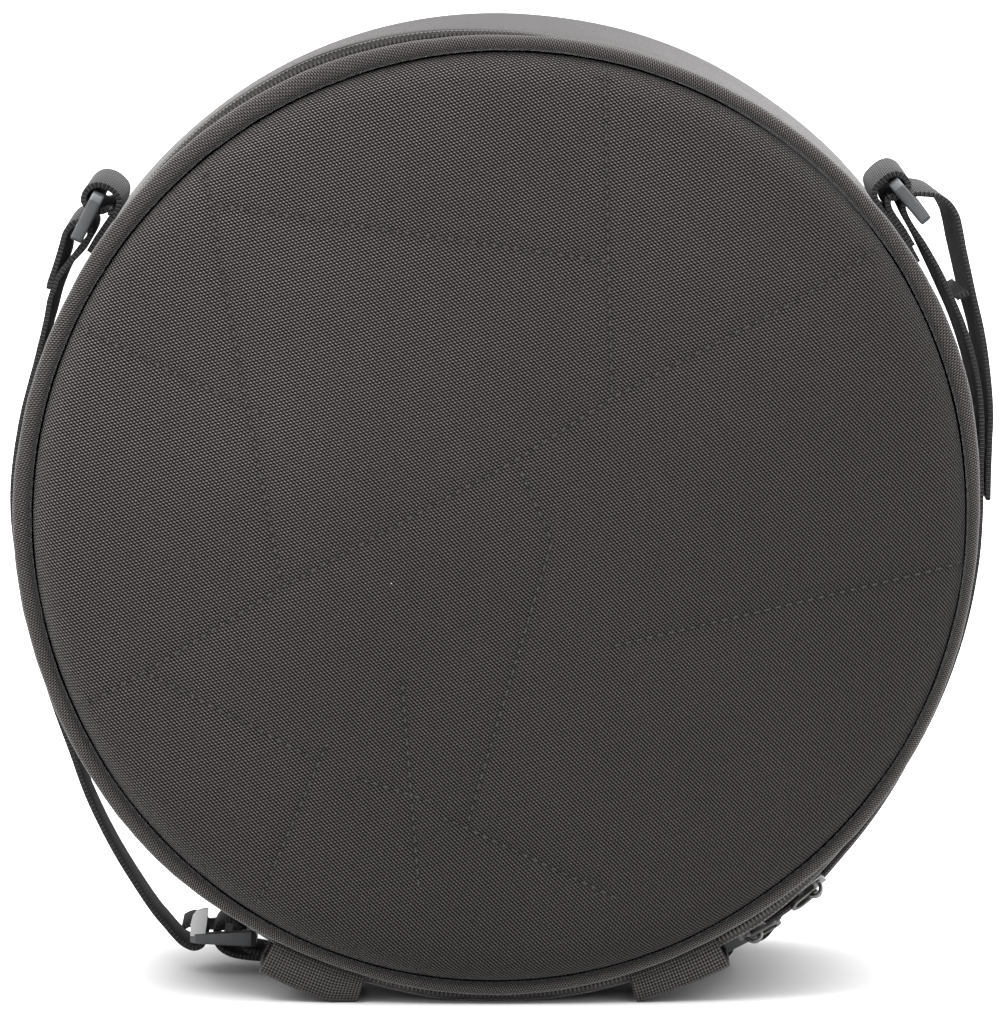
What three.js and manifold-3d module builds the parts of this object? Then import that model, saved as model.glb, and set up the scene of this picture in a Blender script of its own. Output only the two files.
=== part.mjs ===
// A round, drum-shaped luggage rack bag that stands on its rim.
// The drum's axis runs along Y with the padded face towards -Y, X is to the right and Z is up.
// The origin lies on the floor, under the middle of the drum.
import * as THREE from 'three';
import { mergeVertices } from 'three/addons/utils/BufferGeometryUtils.js';
import Module from 'manifold-3d';

const wasm = await Module();
wasm.setup();

// Driving dimensions in millimetres, angles in degrees.
// Angles go round the drum from +X towards +Z, as seen from the front.
const AXIS_HEIGHT = 175.5;
const STEP_ROUND = 6;
const CLOTH = 2;
const GAP = 0.4;
const WELD = 1e-3;

const PIPING = { y: -72, depth: 6, sides: 8 };
const FACE_EDGE = { radius: 164, seamGap: 0.6 };
const LID = {
  frontY: -68.3,
  shoulderY: -66,
  crownY: -61.5,
  crownEndY: -56,
  shoulderShare: 0.75,
  shoulderIn: 1,
};
const TAPE = { y: -45, halfWidth: 6.5, thickness: 1.2, underHem: 2.6 };
const COIL = { foot: 3, top: 2.2, height: 1.9 };
const HINGE = { foot: 3.8, top: 3, height: 1.6 };
const HEM = { start: 4.8, cover: 7.3, lift: 0.4, height: 2.3, endY: -34 };
const BODY = { frontY: -20, backY: 62, edgeY: 71.6, edgeIn: 0.5, radius: 174 };
const BACK = {
  y: 76,
  thickness: 2.4,
  edgeY: 72,
  roundY: 74.6,
  roundIn: 1.5,
  flatIn: 5,
  lipIn: 3,
  innerIn: 6,
};

const ZIP_START = 298.2;
const ZIP_END = 600;
const HINGE_START = 240.3;
const HINGE_END = 297.9;
const END_TAB = { halfWidth: 3.8, low: 2.4, high: 3.6, left: [238.4, 241.6], right: [295.4, 298.5] };

const WEBBING = { width: 25, thickness: 2 };
const BELT_LOOP = { frontY: -71, backY: -38, wall: 1.8, fold: 3, hemGap: 0.6 };

// The drum isn't quite round: seam is the radius at which the face meets the piping, cord is the piping's
// width, and the others are the outer radii of the lid band's crown, of the hem behind the zip and of the
// body wall at that angle.
const AROUND = [
  { angle: 0, seam: 165.7, cord: 4.7, lid: 169.4, hem: 171.4, body: 172.6 },
  { angle: 22, seam: 166.4, cord: 7.0, lid: 170.0, hem: 171.8, body: 172.2 },
  { angle: 45, seam: 167.2, cord: 5.8, lid: 168.8, hem: 170.6, body: 171.0 },
  { angle: 67, seam: 167.0, cord: 5.3, lid: 168.6, hem: 170.0, body: 170.4 },
  { angle: 90, seam: 166.7, cord: 5.2, lid: 172.6, hem: 170.0, body: 170.3 },
  { angle: 112, seam: 166.0, cord: 6.8, lid: 176.2, hem: 170.2, body: 170.5 },
  { angle: 135, seam: 165.4, cord: 7.2, lid: 173.2, hem: 171.0, body: 171.0 },
  { angle: 157, seam: 165.5, cord: 6.8, lid: 170.9, hem: 171.2, body: 171.8 },
  { angle: 180, seam: 166.2, cord: 6.8, lid: 171.6, hem: 172.4, body: 173.7 },
  { angle: 202, seam: 166.5, cord: 6.4, lid: 171.6, hem: 172.8, body: 174.2 },
  { angle: 225, seam: 167.4, cord: 6.4, lid: 172.2, hem: 174.2, body: 175.4 },
  { angle: 247, seam: 168.0, cord: 4.4, lid: 175.2, hem: 175.6, body: 176.6 },
  { angle: 270, seam: 167.5, cord: 4.8, lid: 176.4, hem: 175.9, body: 177.0 },
  { angle: 290, seam: 166.5, cord: 4.2, lid: 175.0, hem: 177.5, body: 177.2 },
  { angle: 297, seam: 165.9, cord: 4.2, lid: 174.9, hem: 178.2, body: 177.4 },
  { angle: 303, seam: 165.4, cord: 4.6, lid: 174.9, hem: 181.0, body: 177.6 },
  { angle: 315, seam: 165.5, cord: 5.2, lid: 171.8, hem: 177.6, body: 176.6 },
  { angle: 337, seam: 165.7, cord: 4.2, lid: 169.2, hem: 172.2, body: 174.0 },
];

// The padded face's front and the back of its padding, from the middle to the seam.
const FACE_FRONT = [
  { r: 0, y: -81.5 },
  { r: 60, y: -81.2 },
  { r: 110, y: -80.4 },
  { r: 145, y: -79.2 },
  { r: 156, y: -78 },
  { r: 161.5, y: -75.8 },
  { r: FACE_EDGE.radius, y: -72.8 },
];
const FACE_BACK = [
  { r: 162.6, y: -70.8 },
  { r: 155, y: -74 },
  { r: 110, y: -76.4 },
  { r: 0, y: -77.5 },
];

// Webbing routes: out is the distance from the body wall to the middle of the webbing.
const UPPER_LEFT_ANCHOR = [
  { angle: 148.5, out: 1.4 },
  { angle: 144.5, out: 1.4 },
  { angle: 142.4, out: 1.6 },
  { angle: 141.25, out: 3.6 },
  { angle: 140.95, out: 6.8 },
  { angle: 141.1, out: 10.6 },
  { angle: 141.75, out: 13.6 },
  { angle: 142.9, out: 14.6 },
  { angle: 143.9, out: 13.2 },
  { angle: 144.15, out: 9.8 },
  { angle: 143.75, out: 6 },
  { angle: 142.9, out: 3.9 },
  { angle: 143.4, out: 2.4 },
];
const LEFT_STRAP_LOOP = [
  { angle: 154.9, out: 5.3, lean: 0.8 },
  { angle: 153, out: 5.8, lean: 0.8 },
  { angle: 151.4, out: 5.5, lean: 0.6 },
  { angle: 149.8, out: 4.6, lean: 0.2 },
  { angle: 147.9, out: 3.8 },
  { angle: 146.45, out: 5 },
  { angle: 145.95, out: 7.8 },
  { angle: 146.35, out: 11.2 },
  { angle: 147.8, out: 12.3 },
  { angle: 149.4, out: 10.6, lean: 0.5 },
  { angle: 151, out: 8.9, lean: 1 },
  { angle: 152.6, out: 8, lean: 1 },
  { angle: 153.9, out: 7.6, lean: 0.8 },
  { angle: 154.6, out: 7, lean: 0.8 },
];
const LEFT_STRAP_RUN = [
  { angle: 153.4, out: 5.7, lean: 0.8 },
  { angle: 155.6, out: 5, lean: 0.8 },
  { angle: 158, out: 3.5, lean: 0.6 },
  { angle: 163, out: 1.9, lean: 0.4 },
  { angle: 171, out: 1.8, lean: 0.4 },
  { angle: 180, out: 2.3, lean: 0.4 },
  { angle: 189, out: 1.8, lean: 0.3 },
  { angle: 198, out: 2.6 },
  { angle: 205, out: 4.4 },
  { angle: 211, out: 6.9 },
  { angle: 216.2, out: 10.8 },
  { angle: 222, out: 15.1 },
  { angle: 226.5, out: 18.6 },
  { angle: 230.6, out: 22.1 },
];
// The strap's lower end goes round the buckle's outer bar and a short way back.
const LEFT_STRAP_TURN = [
  { x: -121.9, z: -157.3 },
  { x: -118.6, z: -161.2 },
  { x: -115.2, z: -164.4 },
  { x: -111.4, z: -165.9 },
  { x: -108.5, z: -164.6 },
  { x: -107.3, z: -161.2 },
  { x: -108.8, z: -157.6 },
  { x: -112.4, z: -156.9 },
  { x: -115.6, z: -158.3 },
];
const LOWER_LEFT_ANCHOR = [
  { angle: 257.4, out: 1.5 },
  { angle: 254.6, out: 1.6 },
  { angle: 251.8, out: 2.4 },
  { x: -69, z: -170.5 },
  { x: -84, z: -170 },
  { x: -98, z: -168.2 },
  { x: -102.6, z: -165 },
  { x: -103.7, z: -160.6 },
  { x: -101.6, z: -156.6 },
  { x: -98, z: -156 },
  { x: -95, z: -158.4 },
  { x: -94.4, z: -162 },
  { x: -92.4, z: -166.2 },
  { x: -86, z: -168 },
  { x: -76, z: -169.4 },
];
const UPPER_RIGHT_ANCHOR = [
  { angle: 30, out: 1.4 },
  { angle: 35, out: 1.4 },
  { angle: 38.7, out: 1.6 },
  { angle: 40, out: 3.6 },
  { angle: 40.3, out: 7 },
  { angle: 40.25, out: 11 },
  { angle: 39.8, out: 13.8 },
  { angle: 38.85, out: 14.9 },
  { angle: 38, out: 14.1 },
  { angle: 37.7, out: 11 },
  { angle: 37.8, out: 8 },
  { angle: 38.15, out: 5.6 },
  { angle: 37.4, out: 3.9 },
  { angle: 35, out: 3 },
  { angle: 32, out: 2.8 },
];
// The right strap from its free tail, over the adjuster and down the bag's side.
const RIGHT_STRAP_RUN = [
  { angle: -0.5, out: 4.1 },
  { angle: 2, out: 4.4 },
  { angle: 5.5, out: 5.2, lean: 0.3 },
  { angle: 10, out: 7, lean: 0.8 },
  { angle: 14.8, out: 8.6, lean: 1.2 },
  { angle: 19.4, out: 10.5, lean: 1.4 },
  { angle: 23.6, out: 12.3, lean: 1.6 },
  { angle: 26.4, out: 14.4, lean: 1.6 },
  { angle: 28.9, out: 16.7, lean: 1.6 },
  { angle: 31, out: 19.2, lean: 1.6 },
  { angle: 32.4, out: 20.6, lean: 1.6 },
  { angle: 34, out: 20.7, lean: 1.4 },
  { angle: 35.3, out: 19.2, lean: 0.8 },
  { angle: 36.2, out: 16.6, lean: 0.2 },
  { angle: 36.8, out: 14 },
  { angle: 36.95, out: 11.7 },
  { angle: 36.85, out: 9.6 },
  { angle: 36.3, out: 7.8 },
  { angle: 34.8, out: 6.5 },
  { angle: 31.4, out: 5.9, lean: 0.6 },
  { angle: 28, out: 5.4, lean: 1.1 },
  { angle: 24, out: 5, lean: 1.3 },
  { angle: 20.5, out: 5, lean: 1.3 },
  { angle: 15.5, out: 4.6, lean: 1.2 },
  { angle: 11, out: 3.8, lean: 0.9 },
  { angle: 7, out: 2.7, lean: 0.5 },
  { angle: 3, out: 1.8 },
  { angle: -1, out: 1.5 },
  { angle: -8, out: 1.5 },
  { angle: -16, out: 1.5 },
  { angle: -24, out: 1.5 },
  { angle: -32, out: 1.5 },
  { angle: -40, out: 1.5 },
  { angle: -47, out: 1.6 },
  { angle: -53, out: 2 },
];
const RIGHT_STRAP_LOOP = [
  { angle: -51.6, out: 1.9 },
  { angle: -54, out: 1.7 },
  { angle: -57, out: 1.6 },
  { angle: -59.6, out: 1.8 },
  { angle: -60.9, out: 3.6 },
  { angle: -61.2, out: 6.4 },
  { angle: -60.6, out: 9.4 },
  { angle: -59.2, out: 10.4 },
  { angle: -57.2, out: 8 },
  { angle: -55, out: 4.6 },
  { angle: -53, out: 2.6 },
  { angle: -51.4, out: 2.1 },
];
const LOWER_RIGHT_ANCHOR = [
  { angle: -76, out: 1.4 },
  { angle: -70, out: 1.4 },
  { angle: -66, out: 1.6 },
  { angle: -63.9, out: 2.1 },
  { angle: -62.9, out: 3.8 },
  { angle: -62.7, out: 6.4 },
  { angle: -63.3, out: 9.4 },
  { angle: -64.8, out: 10.4 },
  { angle: -66.6, out: 8.2 },
  { angle: -68.4, out: 4.8 },
  { angle: -70.4, out: 2.9 },
  { angle: -73, out: 2.6 },
];
// A short tab of webbing stands between the right strap and its tail and holds them together.
const TAIL_KEEPER = [
  { angle: 24.2, out: 6.4, lean: 1.3 },
  { angle: 24.2, out: 11, lean: 1.5 },
];
const ROUTE_STEPS_PER_ROW = 3;

// The webbing of the upper half lies a little skew on the wall, with its far edge further up. Where a
// row has a lean, the near edge stands out by that much more and the far edge by that much less.
const SKEW = { degrees: 1.15, fromZ: 20, toZ: 70 };

// Plastic fittings that the webbing runs through: bars are where each crossbar starts and ends.
const RING = {
  length: 18.8,
  width: 34.6,
  rail: 3.2,
  corner: 2,
  thin: 4.6,
  thick: 4.6,
  bars: [{ from: 0, to: 3.4 }, { from: 15.4, to: 18.8 }],
};
const ADJUSTER = {
  length: 18.6,
  width: 34.6,
  rail: 3.2,
  corner: 2,
  thin: 4.4,
  thick: 4.4,
  bars: [{ from: 0, to: 3.2 }, { from: 10.8, to: 13.4 }, { from: 15.8, to: 18.6 }],
};
const LADDER_LOCK = {
  length: 24.2,
  width: 34.6,
  rail: 3.2,
  corner: 2,
  thin: 3.4,
  thick: 6.2,
  bars: [{ from: 0, to: 3.2 }, { from: 12.4, to: 15.4 }, { from: 20.6, to: 24.2 }],
};
const FITTING_BEVEL = 0.5;

// A rounded ear stands on the near rail of the buckle's thin end.
const LOCK_EAR = {
  outline: [
    { x: -12, z: 1 },
    { x: -6.6, z: 1 },
    { x: -5.2, z: 11.2 },
    { x: -7.3, z: 11 },
    { x: -9.5, z: 10.3 },
    { x: -11.1, z: 8.3 },
    { x: -11.9, z: 5 },
  ],
  nearY: -17,
  thickness: 2.7,
};

// Where each fitting sits: out is its middle's distance from the body wall, tilt turns its lower end.
const UPPER_LEFT_RING = { angle: 145.1, out: 9, tilt: 8 };
const UPPER_RIGHT_ADJUSTER = { angle: 36.55, out: 11, tilt: 3.6 };
const LOWER_RIGHT_RING = { angle: -62, out: 6.4, tilt: 0 };
const LOWER_LEFT_LOCK = { x: -100.7, z: -161.6 };

// Zip sliders: pull is the way along the zip that the pull points, 1 towards rising angles.
const SLIDERS = [
  { name: 'lower', angle: 300.6, pull: 1 },
  { name: 'upper', angle: 309.3, pull: -1 },
];
const SLIDER = { length: 11, halfWidth: 4.2, wallIn: 3.4, low: 0.7, plate: 2.7, top: 4.2 };
const BAIL = { outerX: 3.7, outerZ: 4.6, innerX: 2.4, innerZ: 3.2, width: 2.4, sink: 0.4 };
const PULL = { barHeight: 5.5, bar: 0.8, halfWidth: 4.2, reach: 6.6, holeHalfWidth: 2.5, thickness: 1.6 };
const BELT_LOOPS = [
  { name: 'belt_loop_left', from: 242.3, to: 253.8, reach: 186 },
  { name: 'belt_loop_right', from: 285.6, to: 296.9, reach: 182.4 },
];

const CANVAS = { color: 0x403e3d, roughness: 0.92, metalness: 0 };
const SMOOTH_CLOTH = { color: 0x494747, roughness: 0.85, metalness: 0 };
const BLACK_WEBBING = { color: 0x17171a, roughness: 0.9, metalness: 0 };
const ZIP_BLACK = { color: 0x121214, roughness: 0.7, metalness: 0 };
const GREY_PLASTIC = { color: 0x55585c, roughness: 0.5, metalness: 0 };
const DARK_METAL = { color: 0x6c6a6a, roughness: 0.4, metalness: 0.8 };

// Geometry helpers.

const radians = THREE.MathUtils.degToRad;

function solidOf(geometry) {
  const bare = geometry.clone();
  bare.deleteAttribute('normal');
  bare.deleteAttribute('uv');
  const merged = mergeVertices(bare, WELD);
  const vertProperties = Float32Array.from(merged.attributes.position.array);
  const triVerts = Uint32Array.from(merged.index.array);
  return new wasm.Manifold(new wasm.Mesh({ numProp: 3, vertProperties, triVerts }));
}

function geometryOf(solid) {
  const mesh = solid.getMesh();
  const geometry = new THREE.BufferGeometry();
  geometry.setAttribute('position', new THREE.BufferAttribute(mesh.vertProperties, 3));
  geometry.setIndex(new THREE.BufferAttribute(mesh.triVerts, 1));
  geometry.computeVertexNormals();
  return geometry;
}

function joined(...geometries) {
  return geometryOf(geometries.map(solidOf).reduce((whole, next) => whole.add(next)));
}

function cut(geometry, ...cutters) {
  return geometryOf(cutters.map(solidOf).reduce((whole, next) => whole.subtract(next), solidOf(geometry)));
}

// The triangles of a flat outline, all turning the same way as the outline itself.
function outlineTriangles(outline) {
  const turn = Math.sign(THREE.ShapeUtils.area(outline));
  return THREE.ShapeUtils.triangulateShape(outline, []).map(([a, b, c]) => {
    const area = THREE.ShapeUtils.area([outline[a], outline[b], outline[c]]);
    return Math.sign(area) === turn ? [a, b, c] : [a, c, b];
  });
}

// The angles at which a stretch of the drum is cut: its two ends and each whole step between them.
function stationAngles(from, to) {
  const angles = [from];
  for (let angle = (Math.floor(from / STEP_ROUND) + 1) * STEP_ROUND; angle < to; angle += STEP_ROUND) {
    angles.push(angle);
  }
  return to - from === 360 ? angles : [...angles, to];
}

// A closed body swept round the drum: sectionAt gives its section at an angle as points { r, y },
// which are taken in the order that makes the faces point outwards.
function swept(sectionAt, from, to) {
  const angles = stationAngles(from, to);
  const stations = angles.length;
  const whole = to - from === 360;
  const positions = [];
  let outline = [];
  angles.forEach((angle) => {
    outline = sectionAt(angle).map((point) => new THREE.Vector2(point.r, point.y));
    if (THREE.ShapeUtils.area(outline) > 0) {
      outline.reverse();
    }
    outline.forEach((point) => {
      positions.push(point.x * Math.cos(radians(angle)), point.y, point.x * Math.sin(radians(angle)));
    });
  });
  const count = outline.length;
  const faces = [];
  const spans = whole ? stations : stations - 1;
  for (let i = 0; i < spans; i += 1) {
    const here = i * count;
    const next = ((i + 1) % stations) * count;
    for (let j = 0; j < count; j += 1) {
      const k = (j + 1) % count;
      faces.push(here + j, next + j, next + k, here + j, next + k, here + k);
    }
  }
  if (!whole) {
    const last = (stations - 1) * count;
    outlineTriangles(outline).forEach(([a, b, c]) => {
      faces.push(a, b, c, last + a, last + c, last + b);
    });
  }
  const geometry = new THREE.BufferGeometry();
  geometry.setAttribute('position', new THREE.Float32BufferAttribute(positions, 3));
  geometry.setIndex(faces);
  geometry.computeVertexNormals();
  return geometry;
}

// The drum's measures at any angle.

function column(name) {
  const rowsOfTurn = (turn) => AROUND.map((row) => ({ at: row.angle + turn, value: row[name] }));
  const rows = [-360, 0, 360].flatMap(rowsOfTurn);
  const curve = new THREE.CubicInterpolant(rows.map((row) => row.at), rows.map((row) => row.value), 1);
  return (angle) => curve.evaluate(THREE.MathUtils.euclideanModulo(angle, 360))[0];
}

const seamRadius = column('seam');
const cordWidth = column('cord');
const lidColumn = column('lid');
const hemColumn = column('hem');
const bodyColumn = column('body');

// The radius at which the floor is met, where the drum is flattened against it.
function floorRadius(angle) {
  const down = -Math.sin(radians(angle));
  return down > 0 ? AXIS_HEIGHT / down : Infinity;
}

const lidRadius = (angle) => Math.min(lidColumn(angle), floorRadius(angle));
const hemRadius = (angle) => Math.min(hemColumn(angle), floorRadius(angle));
const bodyRadius = (angle) => Math.min(bodyColumn(angle), floorRadius(angle));
const pipingRadius = (angle) => seamRadius(angle) + cordWidth(angle) / 2;
const faceRadius = (angle) => seamRadius(angle) - FACE_EDGE.seamGap;

function onDrum({ angle, out }) {
  const radius = bodyColumn(angle) + out;
  return { x: radius * Math.cos(radians(angle)), z: radius * Math.sin(radians(angle)) };
}

// The zip tape slopes from under the lid band to under the hem: its middle, slope and outward normal.
function tapeFrame(angle) {
  const lidSide = lidRadius(angle) - TAPE.underHem;
  const hemSide = hemRadius(angle) - TAPE.underHem;
  const slope = Math.atan2(hemSide - lidSide, 2 * TAPE.halfWidth);
  return { middle: (lidSide + hemSide) / 2, slope };
}

// A point on the tape: across runs from the lid's side to the hem's, lift stands off its outer face.
function tapePoint(angle, across, lift) {
  const { middle, slope } = tapeFrame(angle);
  return {
    r: middle + across * Math.sin(slope) + lift * Math.cos(slope),
    y: TAPE.y + across * Math.cos(slope) - lift * Math.sin(slope),
  };
}

// The drum's cloth pieces.

function discOf(profile, radiusAt, radius) {
  const points = profile.map((point) => new THREE.Vector2(point.r, point.y));
  const disc = new THREE.LatheGeometry(points, 360 / STEP_ROUND);
  const position = disc.attributes.position;
  for (let i = 0; i < position.count; i += 1) {
    const angle = THREE.MathUtils.radToDeg(Math.atan2(position.getZ(i), position.getX(i)));
    const scale = radiusAt(angle) / radius;
    position.setX(i, position.getX(i) * scale);
    position.setZ(i, position.getZ(i) * scale);
  }
  disc.computeVertexNormals();
  return disc;
}

function pipingSection(angle) {
  return Array.from({ length: PIPING.sides }, (_, i) => {
    const turn = (2 * Math.PI * i) / PIPING.sides;
    return {
      r: pipingRadius(angle) + (cordWidth(angle) / 2) * Math.cos(turn),
      y: PIPING.y - (PIPING.depth / 2) * Math.sin(turn),
    };
  });
}

function lidSection(angle) {
  const crown = lidRadius(angle);
  const seam = pipingRadius(angle);
  const shoulder = THREE.MathUtils.lerp(seam, crown, LID.shoulderShare);
  return [
    { r: seam - CLOTH, y: LID.frontY },
    { r: seam + GAP, y: LID.frontY },
    { r: shoulder, y: LID.shoulderY },
    { r: crown, y: LID.crownY },
    { r: crown, y: LID.crownEndY },
    tapePoint(angle, -HEM.start, HEM.height),
    tapePoint(angle, -HEM.start, HEM.lift),
    tapePoint(angle, -HEM.cover, HEM.lift),
    { r: crown - CLOTH, y: LID.crownEndY },
    { r: crown - CLOTH, y: LID.crownY },
    { r: shoulder - CLOTH, y: LID.shoulderY + LID.shoulderIn },
  ];
}

function stripSection(angle, rib) {
  return [
    tapePoint(angle, -TAPE.halfWidth, -TAPE.thickness),
    tapePoint(angle, -TAPE.halfWidth, 0),
    tapePoint(angle, -rib.foot, 0),
    tapePoint(angle, -rib.top, rib.height),
    tapePoint(angle, rib.top, rib.height),
    tapePoint(angle, rib.foot, 0),
    tapePoint(angle, TAPE.halfWidth, 0),
    tapePoint(angle, TAPE.halfWidth, -TAPE.thickness),
  ];
}

function endTabSection(angle) {
  return [
    tapePoint(angle, -END_TAB.halfWidth, END_TAB.low),
    tapePoint(angle, -END_TAB.halfWidth, END_TAB.high),
    tapePoint(angle, END_TAB.halfWidth, END_TAB.high),
    tapePoint(angle, END_TAB.halfWidth, END_TAB.low),
  ];
}

function bodySection(angle) {
  const hem = hemRadius(angle);
  const wall = bodyRadius(angle);
  return [
    tapePoint(angle, HEM.start, HEM.lift),
    tapePoint(angle, HEM.start, HEM.height),
    { r: hem, y: HEM.endY },
    { r: wall, y: BODY.frontY },
    { r: wall, y: BODY.backY },
    { r: wall - BODY.edgeIn, y: BODY.edgeY },
    { r: wall - BODY.edgeIn - CLOTH, y: BODY.edgeY },
    { r: wall - CLOTH, y: BODY.backY },
    { r: wall - CLOTH, y: BODY.frontY },
    { r: hem - CLOTH, y: HEM.endY },
    tapePoint(angle, HEM.cover, HEM.lift),
  ];
}

const BACK_PROFILE = [
  { r: 0, y: BACK.y - BACK.thickness },
  { r: BODY.radius - BACK.innerIn, y: BACK.y - BACK.thickness },
  { r: BODY.radius - BACK.lipIn, y: BACK.edgeY },
  { r: BODY.radius - BODY.edgeIn, y: BACK.edgeY },
  { r: BODY.radius - BACK.roundIn, y: BACK.roundY },
  { r: BODY.radius - BACK.flatIn, y: BACK.y },
  { r: 0, y: BACK.y },
];

function beltLoopSection(angle, reach) {
  const { frontY, backY, wall, fold, hemGap } = BELT_LOOP;
  const root = seamRadius(angle) + cordWidth(angle) + GAP;
  const outer = Math.min(reach, floorRadius(angle));
  const inner = outer - wall;
  const innerFold = fold - wall;
  const backRoot = hemRadius(angle) + hemGap;
  return [
    { r: root, y: frontY + wall },
    { r: root, y: frontY },
    { r: outer - fold, y: frontY },
    { r: outer, y: frontY + fold },
    { r: outer, y: backY - fold },
    { r: outer - fold, y: backY },
    { r: backRoot, y: backY },
    { r: backRoot, y: backY - wall },
    { r: inner - innerFold, y: backY - wall },
    { r: inner, y: backY - wall - innerFold },
    { r: inner, y: frontY + wall + innerFold },
    { r: inner - innerFold, y: frontY + wall },
  ];
}

// Webbing is seen edge-on from the front: its route lies in the XZ plane and its width runs along Y.
// In the upper half its edges are turned a little round the drum's axis, in degrees.
function skewAt(x, z) {
  return Math.sign(x) * SKEW.degrees * THREE.MathUtils.smoothstep(z, SKEW.fromZ, SKEW.toZ);
}

// A corner of the webbing's section: share is -0.5 on its near edge and 0.5 on its far edge.
function webbingCorner(flat, share, lean) {
  const place = flat.clone().setLength(flat.length() - 2 * lean * share);
  place.rotateAround(new THREE.Vector2(), radians(skewAt(flat.x, flat.y) * share));
  return [place.x, WEBBING.width * share, place.y];
}

function webbingStrip(edges) {
  const corners = edges.flatMap(({ outer, inner, lean }) => [
    webbingCorner(outer, -0.5, lean),
    webbingCorner(inner, -0.5, lean),
    webbingCorner(inner, 0.5, lean),
    webbingCorner(outer, 0.5, lean),
  ]);
  const last = corners.length - 4;
  const index = [0, 2, 1, 0, 3, 2, last, last + 1, last + 2, last, last + 2, last + 3];
  for (let here = 0; here < last; here += 4) {
    const next = here + 4;
    for (let j = 0; j < 4; j += 1) {
      const k = (j + 1) % 4;
      index.push(here + j, here + k, next + k, here + j, next + k, next + j);
    }
  }
  const strip = new THREE.BufferGeometry();
  strip.setAttribute('position', new THREE.Float32BufferAttribute(corners.flat(), 3));
  strip.setIndex(index);
  return strip;
}

// How far a fitting that skew webbing runs through is turned in its own plane.
function skewTurn({ angle, out }) {
  return Math.atan2(radians(SKEW.degrees) * (bodyRadius(angle) + out), WEBBING.width);
}

// A route that comes back onto itself is sewn there, so it is made in two lengths that are joined.
function webbingLengths(rows) {
  const route = rows.map((row) => ('angle' in row ? onDrum(row) : row));
  const points = route.map((point, i) => new THREE.Vector3(point.x, point.z, rows[i].lean ?? 0));
  const curve = new THREE.CatmullRomCurve3(points, false, 'centripetal');
  const steps = (rows.length - 1) * ROUTE_STEPS_PER_ROW;
  const edges = curve.getPoints(steps).map((point, i) => {
    const tangent = curve.getTangent(i / steps);
    const half = new THREE.Vector2(-tangent.y, tangent.x).setLength(WEBBING.thickness / 2);
    const middle = new THREE.Vector2(point.x, point.y);
    return { outer: middle.clone().add(half), inner: middle.clone().sub(half), lean: point.z };
  });
  const turn = Math.round(steps / 2);
  return [webbingStrip(edges.slice(0, turn + 1)), webbingStrip(edges.slice(turn - 1))];
}

function webbing(...routes) {
  return joined(...routes.flatMap(webbingLengths));
}

// Hard fittings.

// A flat frame with crossbars, lying in its own XY plane with its length along X and its thick end at +X.
function fitting({ length, width, rail, corner, thin, thick, bars }) {
  const halfWidth = width / 2;
  const outline = new THREE.Shape();
  outline.moveTo(corner, -halfWidth);
  outline.lineTo(length - corner, -halfWidth);
  outline.lineTo(length, -halfWidth + corner);
  outline.lineTo(length, halfWidth - corner);
  outline.lineTo(length - corner, halfWidth);
  outline.lineTo(corner, halfWidth);
  outline.lineTo(0, halfWidth - corner);
  outline.lineTo(0, -halfWidth + corner);
  outline.closePath();
  const plate = new THREE.ExtrudeGeometry(outline, {
    depth: thick - 2 * FITTING_BEVEL,
    bevelThickness: FITTING_BEVEL,
    bevelSize: FITTING_BEVEL,
    bevelOffset: -FITTING_BEVEL,
    bevelSegments: 1,
  });
  plate.translate(0, 0, FITTING_BEVEL - thick / 2);
  const slots = bars.slice(1).map((bar, i) => {
    const slot = new THREE.BoxGeometry(bar.from - bars[i].to, width - 2 * rail, 2 * thick);
    slot.translate((bars[i].to + bar.from) / 2, 0, 0);
    return slot;
  });
  const frame = cut(plate, ...slots);
  const position = frame.attributes.position;
  for (let i = 0; i < position.count; i += 1) {
    const along = position.getX(i) / length;
    position.setZ(i, position.getZ(i) * THREE.MathUtils.lerp(thin / thick, 1, along));
    position.setX(i, position.getX(i) - length / 2);
  }
  frame.computeVertexNormals();
  return frame;
}

function ladderLock() {
  const ear = new THREE.Shape(LOCK_EAR.outline.map((corner) => new THREE.Vector2(corner.x, corner.z)));
  const earPlate = new THREE.ExtrudeGeometry(ear, { depth: LOCK_EAR.thickness, bevelEnabled: false });
  earPlate.rotateX(Math.PI / 2);
  earPlate.translate(0, LOCK_EAR.nearY + LOCK_EAR.thickness, 0);
  return joined(fitting(LADDER_LOCK), earPlate);
}

function sliderBody() {
  const { length, halfWidth, wallIn, low, plate, top } = SLIDER;
  const channel = new THREE.Shape();
  channel.moveTo(-halfWidth, low);
  channel.lineTo(-wallIn, low);
  channel.lineTo(-wallIn, plate);
  channel.lineTo(wallIn, plate);
  channel.lineTo(wallIn, low);
  channel.lineTo(halfWidth, low);
  channel.lineTo(halfWidth, top);
  channel.lineTo(-halfWidth, top);
  channel.closePath();
  const body = new THREE.ExtrudeGeometry(channel, { depth: length, bevelEnabled: false });
  body.rotateX(Math.PI / 2);
  body.rotateZ(Math.PI / 2);
  body.translate(-length / 2, 0, 0);
  const arch = new THREE.Shape();
  arch.absellipse(0, 0, BAIL.outerX, BAIL.outerZ, 0, Math.PI);
  arch.lineTo(-BAIL.innerX, 0);
  arch.absellipse(0, 0, BAIL.innerX, BAIL.innerZ, Math.PI, 0, true);
  arch.closePath();
  const bail = new THREE.ExtrudeGeometry(arch, { depth: BAIL.width, bevelEnabled: false, curveSegments: 6 });
  bail.rotateX(Math.PI / 2);
  bail.translate(0, BAIL.width / 2, top - BAIL.sink);
  return joined(body, bail);
}

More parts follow.
